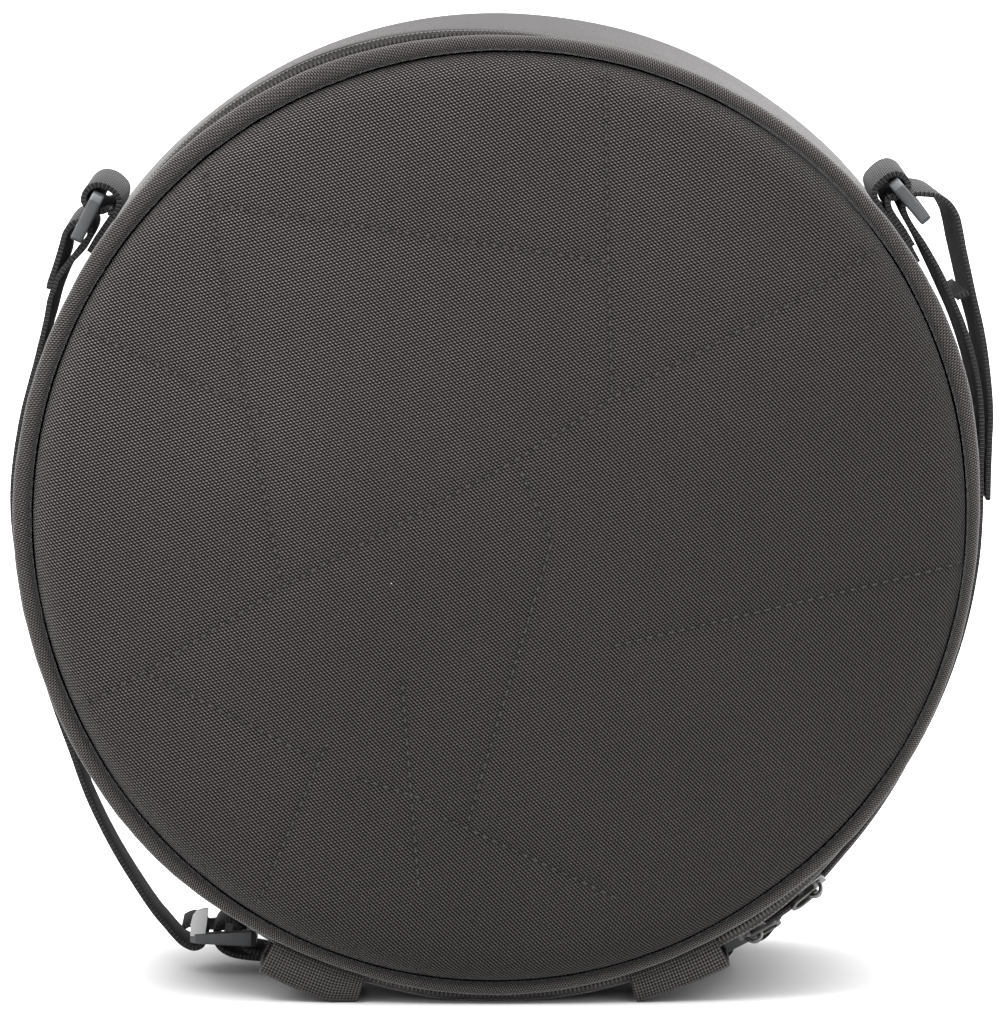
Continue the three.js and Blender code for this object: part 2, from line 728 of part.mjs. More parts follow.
// A pull is a flat D-shaped loop whose straight bar passes under the slider's bail.
function pullLoop() {
  const { bar, halfWidth, reach, holeHalfWidth, thickness } = PULL;
  const outline = new THREE.Shape();
  outline.moveTo(-bar, -halfWidth);
  outline.lineTo(reach, -halfWidth);
  outline.absarc(reach, 0, halfWidth, -Math.PI / 2, Math.PI / 2);
  outline.lineTo(-bar, halfWidth);
  outline.closePath();
  const hole = new THREE.Path();
  hole.moveTo(bar, -holeHalfWidth);
  hole.lineTo(reach, -holeHalfWidth);
  hole.absarc(reach, 0, holeHalfWidth, -Math.PI / 2, Math.PI / 2);
  hole.lineTo(bar, holeHalfWidth);
  hole.closePath();
  outline.holes.push(hole);
  const settings = { depth: thickness, bevelEnabled: false, curveSegments: 8 };
  const loop = new THREE.ExtrudeGeometry(outline, settings);
  loop.translate(0, 0, -thickness / 2);
  return loop;
}

// Assembly.

const bag = new THREE.Group();
const drum = new THREE.Group();
drum.position.z = AXIS_HEIGHT;
bag.add(drum);

function addMesh(parent, name, geometry, finish) {
  const mesh = new THREE.Mesh(geometry, new THREE.MeshStandardMaterial(finish));
  mesh.name = name;
  parent.add(mesh);
  return mesh;
}

function addFitting(name, geometry, place) {
  const at = 'angle' in place ? onDrum(place) : place;
  const mesh = addMesh(drum, name, geometry, GREY_PLASTIC);
  mesh.position.set(at.x, 0, at.z);
  return mesh;
}

const FACE_PROFILE = [...FACE_FRONT, ...FACE_BACK];
addMesh(drum, 'front_panel', discOf(FACE_PROFILE, faceRadius, FACE_EDGE.radius), CANVAS);
addMesh(drum, 'front_piping', swept(pipingSection, 0, 360), CANVAS);
addMesh(drum, 'lid_band', swept(lidSection, 0, 360), SMOOTH_CLOTH);
const zipSection = (angle) => stripSection(angle, COIL);
addMesh(drum, 'zip', swept(zipSection, ZIP_START, ZIP_END), ZIP_BLACK);
const hingeSection = (angle) => stripSection(angle, HINGE);
addMesh(drum, 'hinge_strip', swept(hingeSection, HINGE_START, HINGE_END), CANVAS);
addMesh(drum, 'zip_end_tab_right', swept(endTabSection, ...END_TAB.right), CANVAS);
addMesh(drum, 'zip_end_tab_left', swept(endTabSection, ...END_TAB.left), CANVAS);
addMesh(drum, 'body_gusset', swept(bodySection, 0, 360), SMOOTH_CLOTH);
addMesh(drum, 'back_panel', discOf(BACK_PROFILE, bodyRadius, BODY.radius), CANVAS);

BELT_LOOPS.forEach(({ name, from, to, reach }) => {
  const section = (angle) => beltLoopSection(angle, reach);
  addMesh(drum, name, swept(section, from, to), CANVAS);
});

addMesh(drum, 'anchor_upper_left', webbing(UPPER_LEFT_ANCHOR), BLACK_WEBBING);
addMesh(drum, 'anchor_upper_right', webbing(UPPER_RIGHT_ANCHOR), BLACK_WEBBING);
addMesh(drum, 'anchor_lower_left', webbing(LOWER_LEFT_ANCHOR), BLACK_WEBBING);
addMesh(drum, 'anchor_lower_right', webbing(LOWER_RIGHT_ANCHOR), BLACK_WEBBING);
const leftRun = [...LEFT_STRAP_RUN, ...LEFT_STRAP_TURN];
addMesh(drum, 'strap_left', webbing(leftRun, LEFT_STRAP_LOOP), BLACK_WEBBING);
addMesh(drum, 'strap_right', webbing(RIGHT_STRAP_RUN, RIGHT_STRAP_LOOP), BLACK_WEBBING);
addMesh(drum, 'tail_keeper', webbing(TAIL_KEEPER), BLACK_WEBBING);

// On the left a fitting's length runs down the bag with the angle, on the right against it.
const leftRing = addFitting('ring_upper_left', fitting(RING), UPPER_LEFT_RING);
leftRing.rotation.y = -radians(UPPER_LEFT_RING.angle + 90 + UPPER_LEFT_RING.tilt);
leftRing.rotation.z = skewTurn(UPPER_LEFT_RING);
const adjuster = addFitting('adjuster_upper_right', fitting(ADJUSTER), UPPER_RIGHT_ADJUSTER);
adjuster.rotation.y = -radians(UPPER_RIGHT_ADJUSTER.angle - 90 + UPPER_RIGHT_ADJUSTER.tilt);
adjuster.rotation.z = skewTurn(UPPER_RIGHT_ADJUSTER);
const rightRing = addFitting('ring_lower_right', fitting(RING), LOWER_RIGHT_RING);
rightRing.rotation.y = -radians(LOWER_RIGHT_RING.angle - 90 + LOWER_RIGHT_RING.tilt);
addFitting('ladder_lock_lower_left', ladderLock(), LOWER_LEFT_LOCK);

SLIDERS.forEach(({ name, angle, pull }) => {
  const { slope } = tapeFrame(angle);
  const at = tapePoint(angle, 0, 0);
  const radial = new THREE.Vector3(Math.cos(radians(angle)), 0, Math.sin(radians(angle)));
  const along = new THREE.Vector3(-radial.z, 0, radial.x);
  const outward = radial.clone().multiplyScalar(Math.cos(slope));
  outward.y = -Math.sin(slope);
  const side = new THREE.Vector3().crossVectors(outward, along);
  const group = new THREE.Group();
  group.position.set(at.r * radial.x, at.y, at.r * radial.z);
  group.quaternion.setFromRotationMatrix(new THREE.Matrix4().makeBasis(along, side, outward));
  drum.add(group);
  addMesh(group, `zip_slider_${name}`, sliderBody(), DARK_METAL);
  const loop = addMesh(group, `zip_pull_${name}`, pullLoop(), DARK_METAL);
  loop.position.z = PULL.barHeight;
  loop.rotation.z = pull > 0 ? 0 : Math.PI;
});

export default bag;
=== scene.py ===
# %% [markdown]
# # A round luggage rack bag
# The bag is a drum of cloth that stands on its rim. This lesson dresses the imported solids: the padded face,
# the piping, the zipped lid, the side wall, the webbing straps and the small fittings.
# Every piece is made in metres, where the solids already are, so nothing has to be fitted afterwards.

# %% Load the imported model
import math
from contextlib import contextmanager

import bpy
import numpy as np
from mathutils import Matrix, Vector, noise


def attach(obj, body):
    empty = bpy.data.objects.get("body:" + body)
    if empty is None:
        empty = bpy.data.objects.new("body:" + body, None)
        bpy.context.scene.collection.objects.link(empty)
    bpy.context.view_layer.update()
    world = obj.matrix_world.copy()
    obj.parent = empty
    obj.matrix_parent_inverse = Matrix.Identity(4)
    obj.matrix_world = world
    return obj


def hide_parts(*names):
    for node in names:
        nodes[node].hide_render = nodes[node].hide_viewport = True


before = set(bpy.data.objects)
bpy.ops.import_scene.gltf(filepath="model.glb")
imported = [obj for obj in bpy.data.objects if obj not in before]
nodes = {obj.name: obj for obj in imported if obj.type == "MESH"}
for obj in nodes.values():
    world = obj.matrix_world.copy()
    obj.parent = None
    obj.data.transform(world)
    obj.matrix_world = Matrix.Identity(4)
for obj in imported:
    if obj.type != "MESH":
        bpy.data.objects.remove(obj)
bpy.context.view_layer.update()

# %% [markdown]
# ## The camera
# The photograph looks straight at the face from a little above, through a long lens. The face's seam circle
# sits a few pixels off the middle of the frame, so the camera looks at a point just beside the drum's middle.

# %% Set the camera
MM = 0.001
AXIS_HEIGHT = 175.5 * MM
FACE_PLANE = -75 * MM
LOOK_RIGHT = 0.745 * MM
LOOK_UP = 2.5 * MM
CAMERA_DISTANCE = 3.0
CAMERA_RISE = math.radians(7.1)
PIXELS_PER_METRE = 2820
FRAME_WIDTH = 1004
SENSOR = 36

look_at = Vector((LOOK_RIGHT, FACE_PLANE, AXIS_HEIGHT + LOOK_UP))
away = Vector((0, -math.cos(CAMERA_RISE), math.sin(CAMERA_RISE)))
bpy.ops.object.select_all(action="DESELECT")
bpy.ops.object.camera_add(
    location=look_at + away * CAMERA_DISTANCE, rotation=(math.pi / 2 - CAMERA_RISE, 0, 0)
)
camera = bpy.context.object
camera.data.sensor_fit = "HORIZONTAL"
camera.data.sensor_width = SENSOR
camera.data.lens = SENSOR * CAMERA_DISTANCE * PIXELS_PER_METRE / FRAME_WIDTH
camera.data.clip_end = 100
bpy.context.scene.camera = camera
print("lens:", round(camera.data.lens, 1), "mm")

# %% [markdown]
# ## Shader sums
# A material is a web of nodes. Written out node by node it is hard to read, so one small class stands for a
# socket: sums on it add Math nodes, and its one other method adds any node at all. Short functions on top
# of it make the few nodes that come up again and again.

# %% A class for shader sums
class Wire:
    """One output socket of a material. Sums on wires become Math nodes."""

    def __init__(self, tree, socket=None):
        self.tree = tree
        self.socket = socket

    def node(self, kind, settings=None, sockets=None, output=0):
        made = self.tree.nodes.new(kind)
        for name, value in (settings or {}).items():
            setattr(made, name, value)
        for name, value in (sockets or {}).items():
            if isinstance(value, Wire):
                self.tree.links.new(value.socket, made.inputs[name])
            else:
                made.inputs[name].default_value = value
        return Wire(self.tree, made.outputs[output])

    def math(self, operation, *others):
        values = dict(enumerate((self, *others)))
        return self.node("ShaderNodeMath", {"operation": operation}, values)

    def __add__(self, other):
        return self.math("ADD", other)

    __radd__ = __add__

    def __sub__(self, other):
        return self.math("SUBTRACT", other)

    def __rsub__(self, other):
        return (self * -1).math("ADD", other)

    def __mul__(self, other):
        return self.math("MULTIPLY", other)

    def __pow__(self, other):
        return self.math("POWER", other)


def new_finish(name):
    material = bpy.data.materials.new(name)
    material.use_nodes = True
    shader = material.node_tree.nodes["Principled BSDF"]
    return material, shader, Wire(material.node_tree)


def feed(shader, name, wire):
    wire.tree.links.new(wire.socket, shader.inputs[name])


def noise_at(place, scale, detail):
    return place.node("ShaderNodeTexNoise", None, {"Vector": place, "Scale": scale, "Detail": detail})


def ramp(value, span, levels, kind="SMOOTHSTEP"):
    """A smooth change from one level to another while the value crosses a span."""
    ends = {"From Min": span[0], "From Max": span[1], "To Min": levels[0], "To Max": levels[1]}
    return value.node("ShaderNodeMapRange", {"interpolation_type": kind}, {"Value": value, **ends})


def dot(place, way):
    return place.node("ShaderNodeVectorMath", {"operation": "DOT_PRODUCT"}, {0: place, 1: way}, output=1)


def mixed(start, factor, first, second, blend="MIX"):
    """Two colours mixed by a factor."""
    settings = {"data_type": "RGBA", "blend_type": blend}
    return start.node("ShaderNodeMix", settings, {"Factor": factor, 6: first, 7: second}, output=2)


# %% [markdown]
# ## The studio
# A pale floor runs out of sight in every direction. The sky over it is one huge soft box: it is brightest
# overhead and a little behind the bag, and falls off quickly towards the horizon. So upper sides shine, the
# face stays dark and only a soft shadow lies in front of where the bag meets the floor. A small lamp adds a
# glint to plastic and metal.

# %% Build the studio
FLOOR_SIZE = 120
FLOOR_TONE = 0.76
FLOOR_ROUGHNESS = 0.8
FLOOR_SHINE = 0.1
SKY_LOW = 0.8
SKY_HIGH = 8.6
SKY_FALL = 4
SKY_LEAN = math.radians(10)
LAMP_POWER = 12
LAMP_SIZE = 0.6
LAMP_PLACE = Vector((-0.7, -0.9, 1.7))

bpy.ops.mesh.primitive_grid_add(x_subdivisions=8, y_subdivisions=8, size=FLOOR_SIZE)
floor = bpy.context.object
floor.name = "studio_floor"
floor_finish, floor_shader = new_finish("studio_pale")[:2]
floor_shader.inputs["Base Color"].default_value = (FLOOR_TONE, FLOOR_TONE, FLOOR_TONE, 1)
floor_shader.inputs["Roughness"].default_value = FLOOR_ROUGHNESS
floor_shader.inputs["Specular IOR Level"].default_value = FLOOR_SHINE
floor.data.materials.append(floor_finish)

sky = bpy.data.worlds.new("studio_sky")
sky.use_nodes = True
sky_way = Wire(sky.node_tree).node("ShaderNodeTexCoord")
sky_facing = dot(sky_way, (0, math.sin(SKY_LEAN), math.cos(SKY_LEAN))).math("MAXIMUM", 0.0)
sky_light = sky.node_tree.nodes["Background"]
sky_light.inputs["Color"].default_value = (1, 1, 1, 1)
feed(sky_light, "Strength", sky_facing ** SKY_FALL * SKY_HIGH + SKY_LOW)
bpy.context.scene.world = sky
bpy.context.scene.view_settings.view_transform = "Standard"

bpy.ops.object.light_add(type="AREA", location=LAMP_PLACE)
lamp = bpy.context.object
lamp.rotation_euler = (look_at - LAMP_PLACE).to_track_quat("-Z", "Y").to_euler()
lamp.data.shape = "DISK"
lamp.data.size = LAMP_SIZE
lamp.data.energy = LAMP_POWER
print("lamp:", lamp.data.energy, "W")

# %% [markdown]
# ## The drum's measures
# The drum isn't quite round: it sags a little where it stands and the lid stands off the body in places.
# A short table round the clock gives the radius of the face's seam, the piping's width and the radii of lid,
# hem and wall, and a smooth curve through its rows gives them at any angle. Angles run from the right-hand
# side over the top.

# %% Tables round the drum
ROUND_ANGLES = [0, 22, 45, 67, 90, 112, 135, 157, 180, 202, 225, 247, 270, 290, 297, 303, 315, 337]
SEAM_RADIUS = [
    165.7, 166.4, 167.2, 166.5, 165.6, 164.9, 164.9, 165.5, 166.2,
    166.5, 167.4, 168, 167.5, 166.5, 165.9, 165.4, 165.5, 165.7,
]
CORD_WIDTH = [4.7, 7, 5.8, 5.6, 5.7, 7.7, 7.6, 6.8, 6.8, 6.4, 6.4, 4.4, 4.8, 4.2, 4.2, 4.6, 5.2, 4.2]
LID_RADIUS = [
    169.4, 170, 168.8, 168.6, 172.6, 176.2, 173.2, 170.9, 171.6,
    171.6, 172.2, 175.2, 176.4, 175, 174.9, 174.9, 171.8, 169.2,
]
HEM_RADIUS = [
    171.4, 171.8, 170.6, 170, 170, 170.2, 171, 171.2, 172.4,
    172.8, 174.2, 175.6, 175.9, 177.5, 178.2, 181, 177.6, 172.2,
]
WALL_RADIUS = [
    172.6, 172.2, 171, 170.4, 170.3, 170.5, 171, 171.8, 173.7,
    174.2, 175.4, 176.6, 177, 177.2, 177.4, 177.6, 176.6, 174,
]


def curve(t, start, end, leave, arrive):
    """A smooth curve between two values, with given slopes at both."""
    first = (1 + 2 * t) * (1 - t) ** 2 * start + t * (1 - t) ** 2 * leave
    return first + t * t * (3 - 2 * t) * end + t * t * (t - 1) * arrive


def smooth_round(values):
    """A table's values as a smooth function of the angle in degrees."""
    angles = np.array([angle + turn for turn in (-360, 0, 360) for angle in ROUND_ANGLES], float)
    heights = np.tile(np.array(values, float), 3)
    slopes = np.gradient(heights, angles)

    def value_at(angle):
        spot = np.mod(angle, 360)
        row = np.searchsorted(angles, spot, side="right") - 1
        span = angles[row + 1] - angles[row]
        t = (spot - angles[row]) / span
        return curve(t, heights[row], heights[row + 1], span * slopes[row], span * slopes[row + 1])

    return value_at


def floor_radius(angle):
    """The radius at which the drum meets the floor."""
    down = -np.sin(np.radians(angle))
    return AXIS_HEIGHT / MM / np.maximum(down, 1e-3)


def above_floor(table):
    return lambda angle: np.minimum(table(angle), floor_radius(angle))


seam_radius = smooth_round(SEAM_RADIUS)
cord_width = smooth_round(CORD_WIDTH)
wall_table = smooth_round(WALL_RADIUS)
lid_radius = above_floor(smooth_round(LID_RADIUS))
hem_radius = above_floor(smooth_round(HEM_RADIUS))
wall_radius = above_floor(wall_table)
MEAN_RADIUS = 169


def piping_radius(angle):
    return seam_radius(angle) + cord_width(angle) / 2


print("wall at the top:", round(float(wall_radius(np.array(90.0))), 1), "mm")

# %% [markdown]
# ## Working by hand
# Blender's operators act on whatever is selected, so each piece starts with everything deselected. These
# small helpers select one piece, apply a modifier to it, and hand a finished piece over to the frame.

# %% Helpers for selecting and finishing
SMOOTH_ANGLE = math.radians(38)


def select_only(piece):
    bpy.ops.object.select_all(action="DESELECT")
    piece.select_set(True)
    bpy.context.view_layer.objects.active = piece


def start_piece(name, add, **settings):
    """A new piece from one of Blender's own shapes, with nothing else selected."""
    bpy.ops.object.select_all(action="DESELECT")
    add(**settings)
    bpy.ops.object.transform_apply()
    piece = bpy.context.object
    piece.name = name
    return piece


@contextmanager
def editing(piece):
    """Edit mode on one piece, with all of it selected."""
    select_only(piece)
    bpy.ops.object.mode_set(mode="EDIT")
    bpy.ops.mesh.select_all(action="SELECT")
    yield
    bpy.ops.object.mode_set(mode="OBJECT")


def apply_modifier(piece, kind, **settings):
    select_only(piece)
    modifier = piece.modifiers.new(kind.lower(), kind)
    for name, value in settings.items():
        setattr(modifier, name, value)
    bpy.ops.object.modifier_apply(modifier=modifier.name)


def soften_edges(piece, width, segments, degrees):
    limit = math.radians(degrees)
    apply_modifier(
        piece, "BEVEL", width=width, segments=segments, limit_method="ANGLE", angle_limit=limit
    )


def vertex_places(piece):
    places = np.empty(len(piece.data.vertices) * 3)
    piece.data.vertices.foreach_get("co", places)
    return places.reshape(-1, 3)


def move_vertices(piece, places):
    piece.data.vertices.foreach_set("co", places.ravel())
    piece.data.update()


def polygon_values(piece, name, kind=int):
    values = np.empty(len(piece.data.polygons), kind)
    piece.data.polygons.foreach_get(name, values)
    return values


def polygon_vectors(piece, name):
    vectors = np.empty(len(piece.data.polygons) * 3)
    piece.data.polygons.foreach_get(name, vectors)
    return vectors.reshape(-1, 3)


def noise_round(places, scale):
    return np.array([noise.noise(Vector(place) * scale) for place in places])


def hand_over(piece, body, slot, material, *replaced):
    """Smooths a piece, gives it its finish and lets it ride on its body in place of its solids."""
    select_only(piece)
    bpy.ops.object.shade_smooth_by_angle(angle=SMOOTH_ANGLE)
    piece.data.materials.clear()
    piece.data.materials.append(material)
    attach(piece, body)
    if replaced:
        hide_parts(*replaced)
    print(piece.name, len(piece.data.polygons), "faces")


# %% [markdown]
# ## Woven cloth
# All the cloth is plain weave, laid out on a map in metres along its two families of threads. Three waves
# draw it: the ridges of one family, and the two slanting rows that the crossings make. Their sum gives
# height and brightness, and a little noise bends the threads and varies how strongly the crossings show.
# A second map holds the distance along and across the nearest row of stitches, so one finish can draw
# stitches, the dent that they pull in and painted shade in that dent, on every cloth piece.

# %% Finishes for cloth
STITCH_PITCH = 3.9 * MM
STITCH_SHARE = 0.2
STITCH_SOFT = 0.28
STITCH_COVER = 0.8
STITCH_POLISH = 0.25
STITCH_DEPTH = 0.2 * MM
THREAD_HALF = 0.5 * MM
DENT_REACH = 1.8 * MM
FAR_FROM_STITCHES = 1.0
LINT_SCALE = 130
LINT_SIZE = 0.032
LINT_TINT = (0.42, 0.4, 0.38, 1)
FIBRE_DEPTH = 0.03 * MM
CLOTH_SHINE = 0.12
SHEEN_ROUGHNESS = 0.4
RIDGE_PHASE = 1.75
RIDGE_GRADE = 0.7
RIDGE_BASE = 0.65
ROW_GRADE = 2
ROW_PATCH = 1.2
THREAD_STRAY = 0.5
GAP_LEVEL = 0.08
TONE_POWER = 2.2
FIBRE_TONE = 0.7
PATCH_TONE = 0.4
CLOTH_BUMP = 0.9
CLOTH_NOISE = {"bend": (420, 2), "slack": (95, 1), "patch": (9, 3), "fibre": (1500, 2)}


def map_axes(start, name):
    """The two axes of one of the cloth's maps."""
    cloth_map = start.node("ShaderNodeUVMap", {"uv_map": name})
    split = start.node("ShaderNodeSeparateXYZ", None, {0: cloth_map})
    return split, Wire(start.tree, split.socket.node.outputs["Y"])


def woven_finish(
    name, pitches, tint, swings, relief, stitch_tint,
    fade=0, roughness=0.92, lint=0.012, sheen=0.1, painted_seam_shade=0.18,
):
    """A woven cloth: its thread pitches, mean colour, the swings of its three waves and how they fade."""
    material, shader, start = new_finish(name)
    place = start.node("ShaderNodeTexCoord", output=3)
    warp_way, weft_way = map_axes(start, "weave")
    bend, slack, patch, fibre = [noise_at(place, *size) for size in CLOTH_NOISE.values()]
    slope = dot(place, (-fade, 0, fade)) + (0.5 - AXIS_HEIGHT * fade)
    grade = slope.math("MAXIMUM", 0.0).math("MINIMUM", 1.0)
    stray = (bend + slack - 1) * THREAD_STRAY
    warp = warp_way * (math.pi / pitches[0]) + stray
    weft = weft_way * (math.pi / pitches[1]) - stray
    ridge = (weft * 2 - RIDGE_PHASE).math("COSINE")
    row = (warp - weft).math("COSINE")
    counter_row = (warp + weft).math("COSINE")
    ridge_swing = (grade * RIDGE_GRADE + RIDGE_BASE) * swings[0]
    row_swing = (grade * ROW_GRADE + (patch - 0.5) * ROW_PATCH) * swings[1]
    height = ridge * ridge_swing + row * row_swing + counter_row * swings[2]

    along, from_row = map_axes(start, "stitches")
    across = from_row.math("ABSOLUTE")
    dent = ramp(across, (0.0, DENT_REACH), (1.0, 0.0), "SMOOTHERSTEP")
    beat = (along * (1 / STITCH_PITCH)).math("FRACT")
    dash = ramp((beat - 0.5).math("ABSOLUTE"), (STITCH_SHARE, STITCH_SOFT), (1.0, 0.0))
    stitch = dash * ramp(across, (0.0, THREAD_HALF), (1.0, 0.0))

    bright = (height + 1).math("MAXIMUM", GAP_LEVEL) ** TONE_POWER
    fibre_tone = fibre * FIBRE_TONE + (1 - FIBRE_TONE / 2)
    patch_tone = patch * PATCH_TONE + (1 - PATCH_TONE / 2)
    # Near a row of stitches the tone is darkened: painted shade in the seam's dent.
    tone = bright * fibre_tone * patch_tone * (1 - dent * painted_seam_shade)
    cloth = mixed(start, 1.0, (*tint, 1), tone, "MULTIPLY")
    sewn = mixed(start, stitch * STITCH_COVER, cloth, (*stitch_tint, 1))
    speck = start.node(
        "ShaderNodeTexVoronoi", None, {"Vector": place, "Scale": LINT_SCALE, "Randomness": 1.0}
    )
    speck_draw = Wire(start.tree, speck.socket.node.outputs["Color"])
    chosen = start.node("ShaderNodeSeparateColor", None, {0: speck_draw}).math("GREATER_THAN", 1 - lint)
    fleck = chosen * speck.math("LESS_THAN", LINT_SIZE)
    feed(shader, "Base Color", mixed(start, fleck, sewn, LINT_TINT))
    feed(shader, "Roughness", roughness - stitch * STITCH_POLISH)
    lift = height * relief - dent * STITCH_DEPTH + stitch * STITCH_DEPTH + fibre * FIBRE_DEPTH
    bump = start.node("ShaderNodeBump", None, {"Height": lift, "Distance": 1.0, "Strength": CLOTH_BUMP})
    feed(shader, "Normal", bump)
    shader.inputs["Specular IOR Level"].default_value = CLOTH_SHINE
    shader.inputs["Sheen Weight"].default_value = sheen
    shader.inputs["Sheen Roughness"].default_value = SHEEN_ROUGHNESS
    return material


# The piping, loops, tabs, lid and wall are canvas like the face's, but these copies are lighter than it:
# painted light that stands in for how the light falls on those parts.
canvas = woven_finish(
    "dark_canvas", (0.62 * MM, 1.07 * MM), (0.0166, 0.0147, 0.0143), (0.88, 0.52, 0.16), 0.14 * MM,
    (0.055, 0.053, 0.052), fade=2.4, sheen=0.12, painted_seam_shade=0.24,
)
piping_canvas_painted_lighter = woven_finish(
    "piping_canvas_painted_lighter", (0.7 * MM, 0.8 * MM), (0.0276, 0.0247, 0.0242), (0.6, 0.3, 0.3), 0.14 * MM,
    (0.015, 0.015, 0.015), lint=0.02, sheen=0.3, painted_seam_shade=0.8,
)
loop_canvas_painted_lighter = woven_finish(
    "loop_canvas_painted_lighter", (0.75 * MM, 0.75 * MM), (0.0325, 0.0294, 0.029), (0.15, 0.36, 0.36), 0.14 * MM,
    (0.02, 0.02, 0.02), sheen=0.15,
)
lid_canvas_painted_lighter = woven_finish(
    "lid_canvas_painted_lighter", (0.75 * MM, 0.95 * MM), (0.0236, 0.0216, 0.0214), (0.55, 0.3, 0.3), 0.12 * MM,
    (0.02, 0.02, 0.021), roughness=0.9, lint=0.008, sheen=0.28,
)
side_canvas_painted_lighter = woven_finish(
    "side_canvas_painted_lighter", (0.62 * MM, 0.9 * MM), (0.0254, 0.0231, 0.023), (0.4, 0.35, 0.25), 0.1 * MM,
    (0.02, 0.02, 0.021), roughness=0.9, lint=0.008, sheen=0.28,
)
webbing_finish = woven_finish(
    "black_webbing", (1.5 * MM, 0.72 * MM), (0.0245, 0.0238, 0.0241), (0.42, 0.3, 0.3), 0.16 * MM,
    (0.03, 0.03, 0.031), roughness=0.82, lint=0.02,
)
zip_tape_finish = woven_finish(
    "black_zip_tape", (0.55 * MM, 0.6 * MM), (0.007, 0.007, 0.0072), (0.3, 0.2, 0.2), 0.06 * MM,
    (0.02, 0.02, 0.02), roughness=0.8, lint=0.01,
)
print("cloth finishes:", canvas.name, side_canvas_painted_lighter.name, webbing_finish.name, zip_tape_finish.name)

# %% [markdown]
# ## Hard finishes
# The buckles are moulded plastic with a fine grain and slightly polished wear, the zip's coil is smooth black
# nylon, and the sliders and pulls are plated metal with brighter edges where hands have rubbed them.

# %% Finishes for plastic and metal
WEAR_SCALE = 140
EDGE_SPAN = (0.5, 0.62)
EDGE_WEAR = 0.56
CLOUD_WEAR = 0.4
GRAIN_BUMP = 0.6


def hard_finish(name, dull, worn, rough, rough_swing, grain_scale, grain, metallic=0.0):
    """A moulded or plated finish: its dull and worn colours, its roughness and the grain of its surface."""
    material, shader, start = new_finish(name)
    place = start.node("ShaderNodeTexCoord", output=3)
    cloud = noise_at(place, WEAR_SCALE, 4)
    pits = noise_at(place, grain_scale, 3)
    edge = start.node("ShaderNodeNewGeometry", output=7)
    wear = ramp(edge, EDGE_SPAN, (0.0, 1.0)) * EDGE_WEAR + cloud * CLOUD_WEAR
    feed(shader, "Base Color", mixed(start, wear, (*dull, 1), (*worn, 1)))
    feed(shader, "Roughness", rough + (cloud - 0.5) * rough_swing)
    settings = {"Height": pits * grain, "Distance": 1.0, "Strength": GRAIN_BUMP}
    feed(shader, "Normal", start.node("ShaderNodeBump", None, settings))
    shader.inputs["Metallic"].default_value = metallic
    return material


grey_plastic = hard_finish(
    "moulded_grey_plastic", (0.038, 0.0395, 0.042), (0.09, 0.093, 0.098), 0.42, 0.2, 2600, 0.05 * MM
)
# A pale copy for the buckle's ear: a painted highlight.
painted_highlight_plastic = hard_finish(
    "painted_highlight_grey_plastic", (0.46, 0.46, 0.465), (0.6, 0.6, 0.605), 0.4, 0.15, 2600, 0.03 * MM
)
plated_metal = hard_finish(
    "dark_plated_metal", (0.11, 0.108, 0.107), (0.3, 0.294, 0.29), 0.36, 0.2, 1800, 0.02 * MM, 1.0
)
coil_nylon = hard_finish(
    "black_coil_nylon", (0.008, 0.008, 0.009), (0.03, 0.03, 0.031), 0.36, 0.2, 1500, 0.02 * MM
)
print("hard finishes:", grey_plastic.name, painted_highlight_plastic.name, plated_metal.name, coil_nylon.name)

# %% [markdown]
# ## Maps for the threads and stitches
# Both maps are laid on corner by corner, in metres. Most rows of stitches have no place on a piece, so
# its stitch map starts out a metre away from any row.

# %% Helpers for cloth maps
def corner_vertices(piece):
    corners = np.empty(len(piece.data.loops), int)
    piece.data.loops.foreach_get("vertex_index", corners)
    return corners


def lay_map(piece, name, first, second):
    layer = piece.data.uv_layers.get(name) or piece.data.uv_layers.new(name=name)
    layer.uv.foreach_set("vector", np.column_stack([first, second]).astype(np.float32).ravel())


def lay_bare_stitches(piece):
    count = len(piece.data.loops)
    lay_map(piece, "stitches", np.zeros(count), np.full(count, FAR_FROM_STITCHES))


def turned(first, second, degrees):
    """The same map in threads that are turned by an angle."""
    turn = math.radians(degrees)
    return first * math.cos(turn) + second * math.sin(turn), second * math.cos(turn) - first * math.sin(turn)


def round_angles(places):
    return np.degrees(np.arctan2(places[:, 2] - AXIS_HEIGHT, places[:, 0]))


def from_axis(places):
    return np.hypot(places[:, 0], places[:, 2] - AXIS_HEIGHT)


def set_radius(places, radius):
    """Moves places out or in to a distance from the drum's axis."""
    turn = np.radians(round_angles(places))
    places[:, 0] = radius * np.cos(turn)
    places[:, 2] = AXIS_HEIGHT + radius * np.sin(turn)


def corner_angles(piece):
    """Each corner's angle round the drum, unbroken within its face."""
    angles = round_angles(vertex_places(piece))[corner_vertices(piece)]
    starts = polygon_values(piece, "loop_start")
    first = np.repeat(angles[starts], polygon_values(piece, "loop_total"))
    return first + np.mod(angles - first + 180, 360) - 180


def corners_round(piece):
    """Each corner's distance round the drum at its mean radius."""
    return np.radians(corner_angles(piece)) * MEAN_RADIUS * MM


# %% [markdown]
# ## The padded face
# The face is a round of canvas over foam, quilted with straight rows of stitches and sewn into the piping
# round its edge. A filled circle with a grid of faces takes both the dome and the quilting. The edge is
# rolled back by extruding the rim, the dome is set by the distance from the middle, and a cloth simulation
# then swells the pad between its seams, with the seams and the rim held by a pin group.

# %% Shape the face
FACE_START = 152
FACE_RIM = 164 * MM
SEAM_GAP = 0.5
FACE_RING = 320
DOME_AT = [0, 60, 110, 145, 153, 157, 159.5, 161.5, 162.8, 163.6, 164]
DOME_Y = [-81, -80.9, -80.6, -80, -79.5, -78.4, -77, -75.3, -73.6, -72.2, -71]
RIM_STEPS = [154, 156, 157.5, 158.8, 160, 161, 161.8, 162.5, 163, 163.4, 163.7, 164]

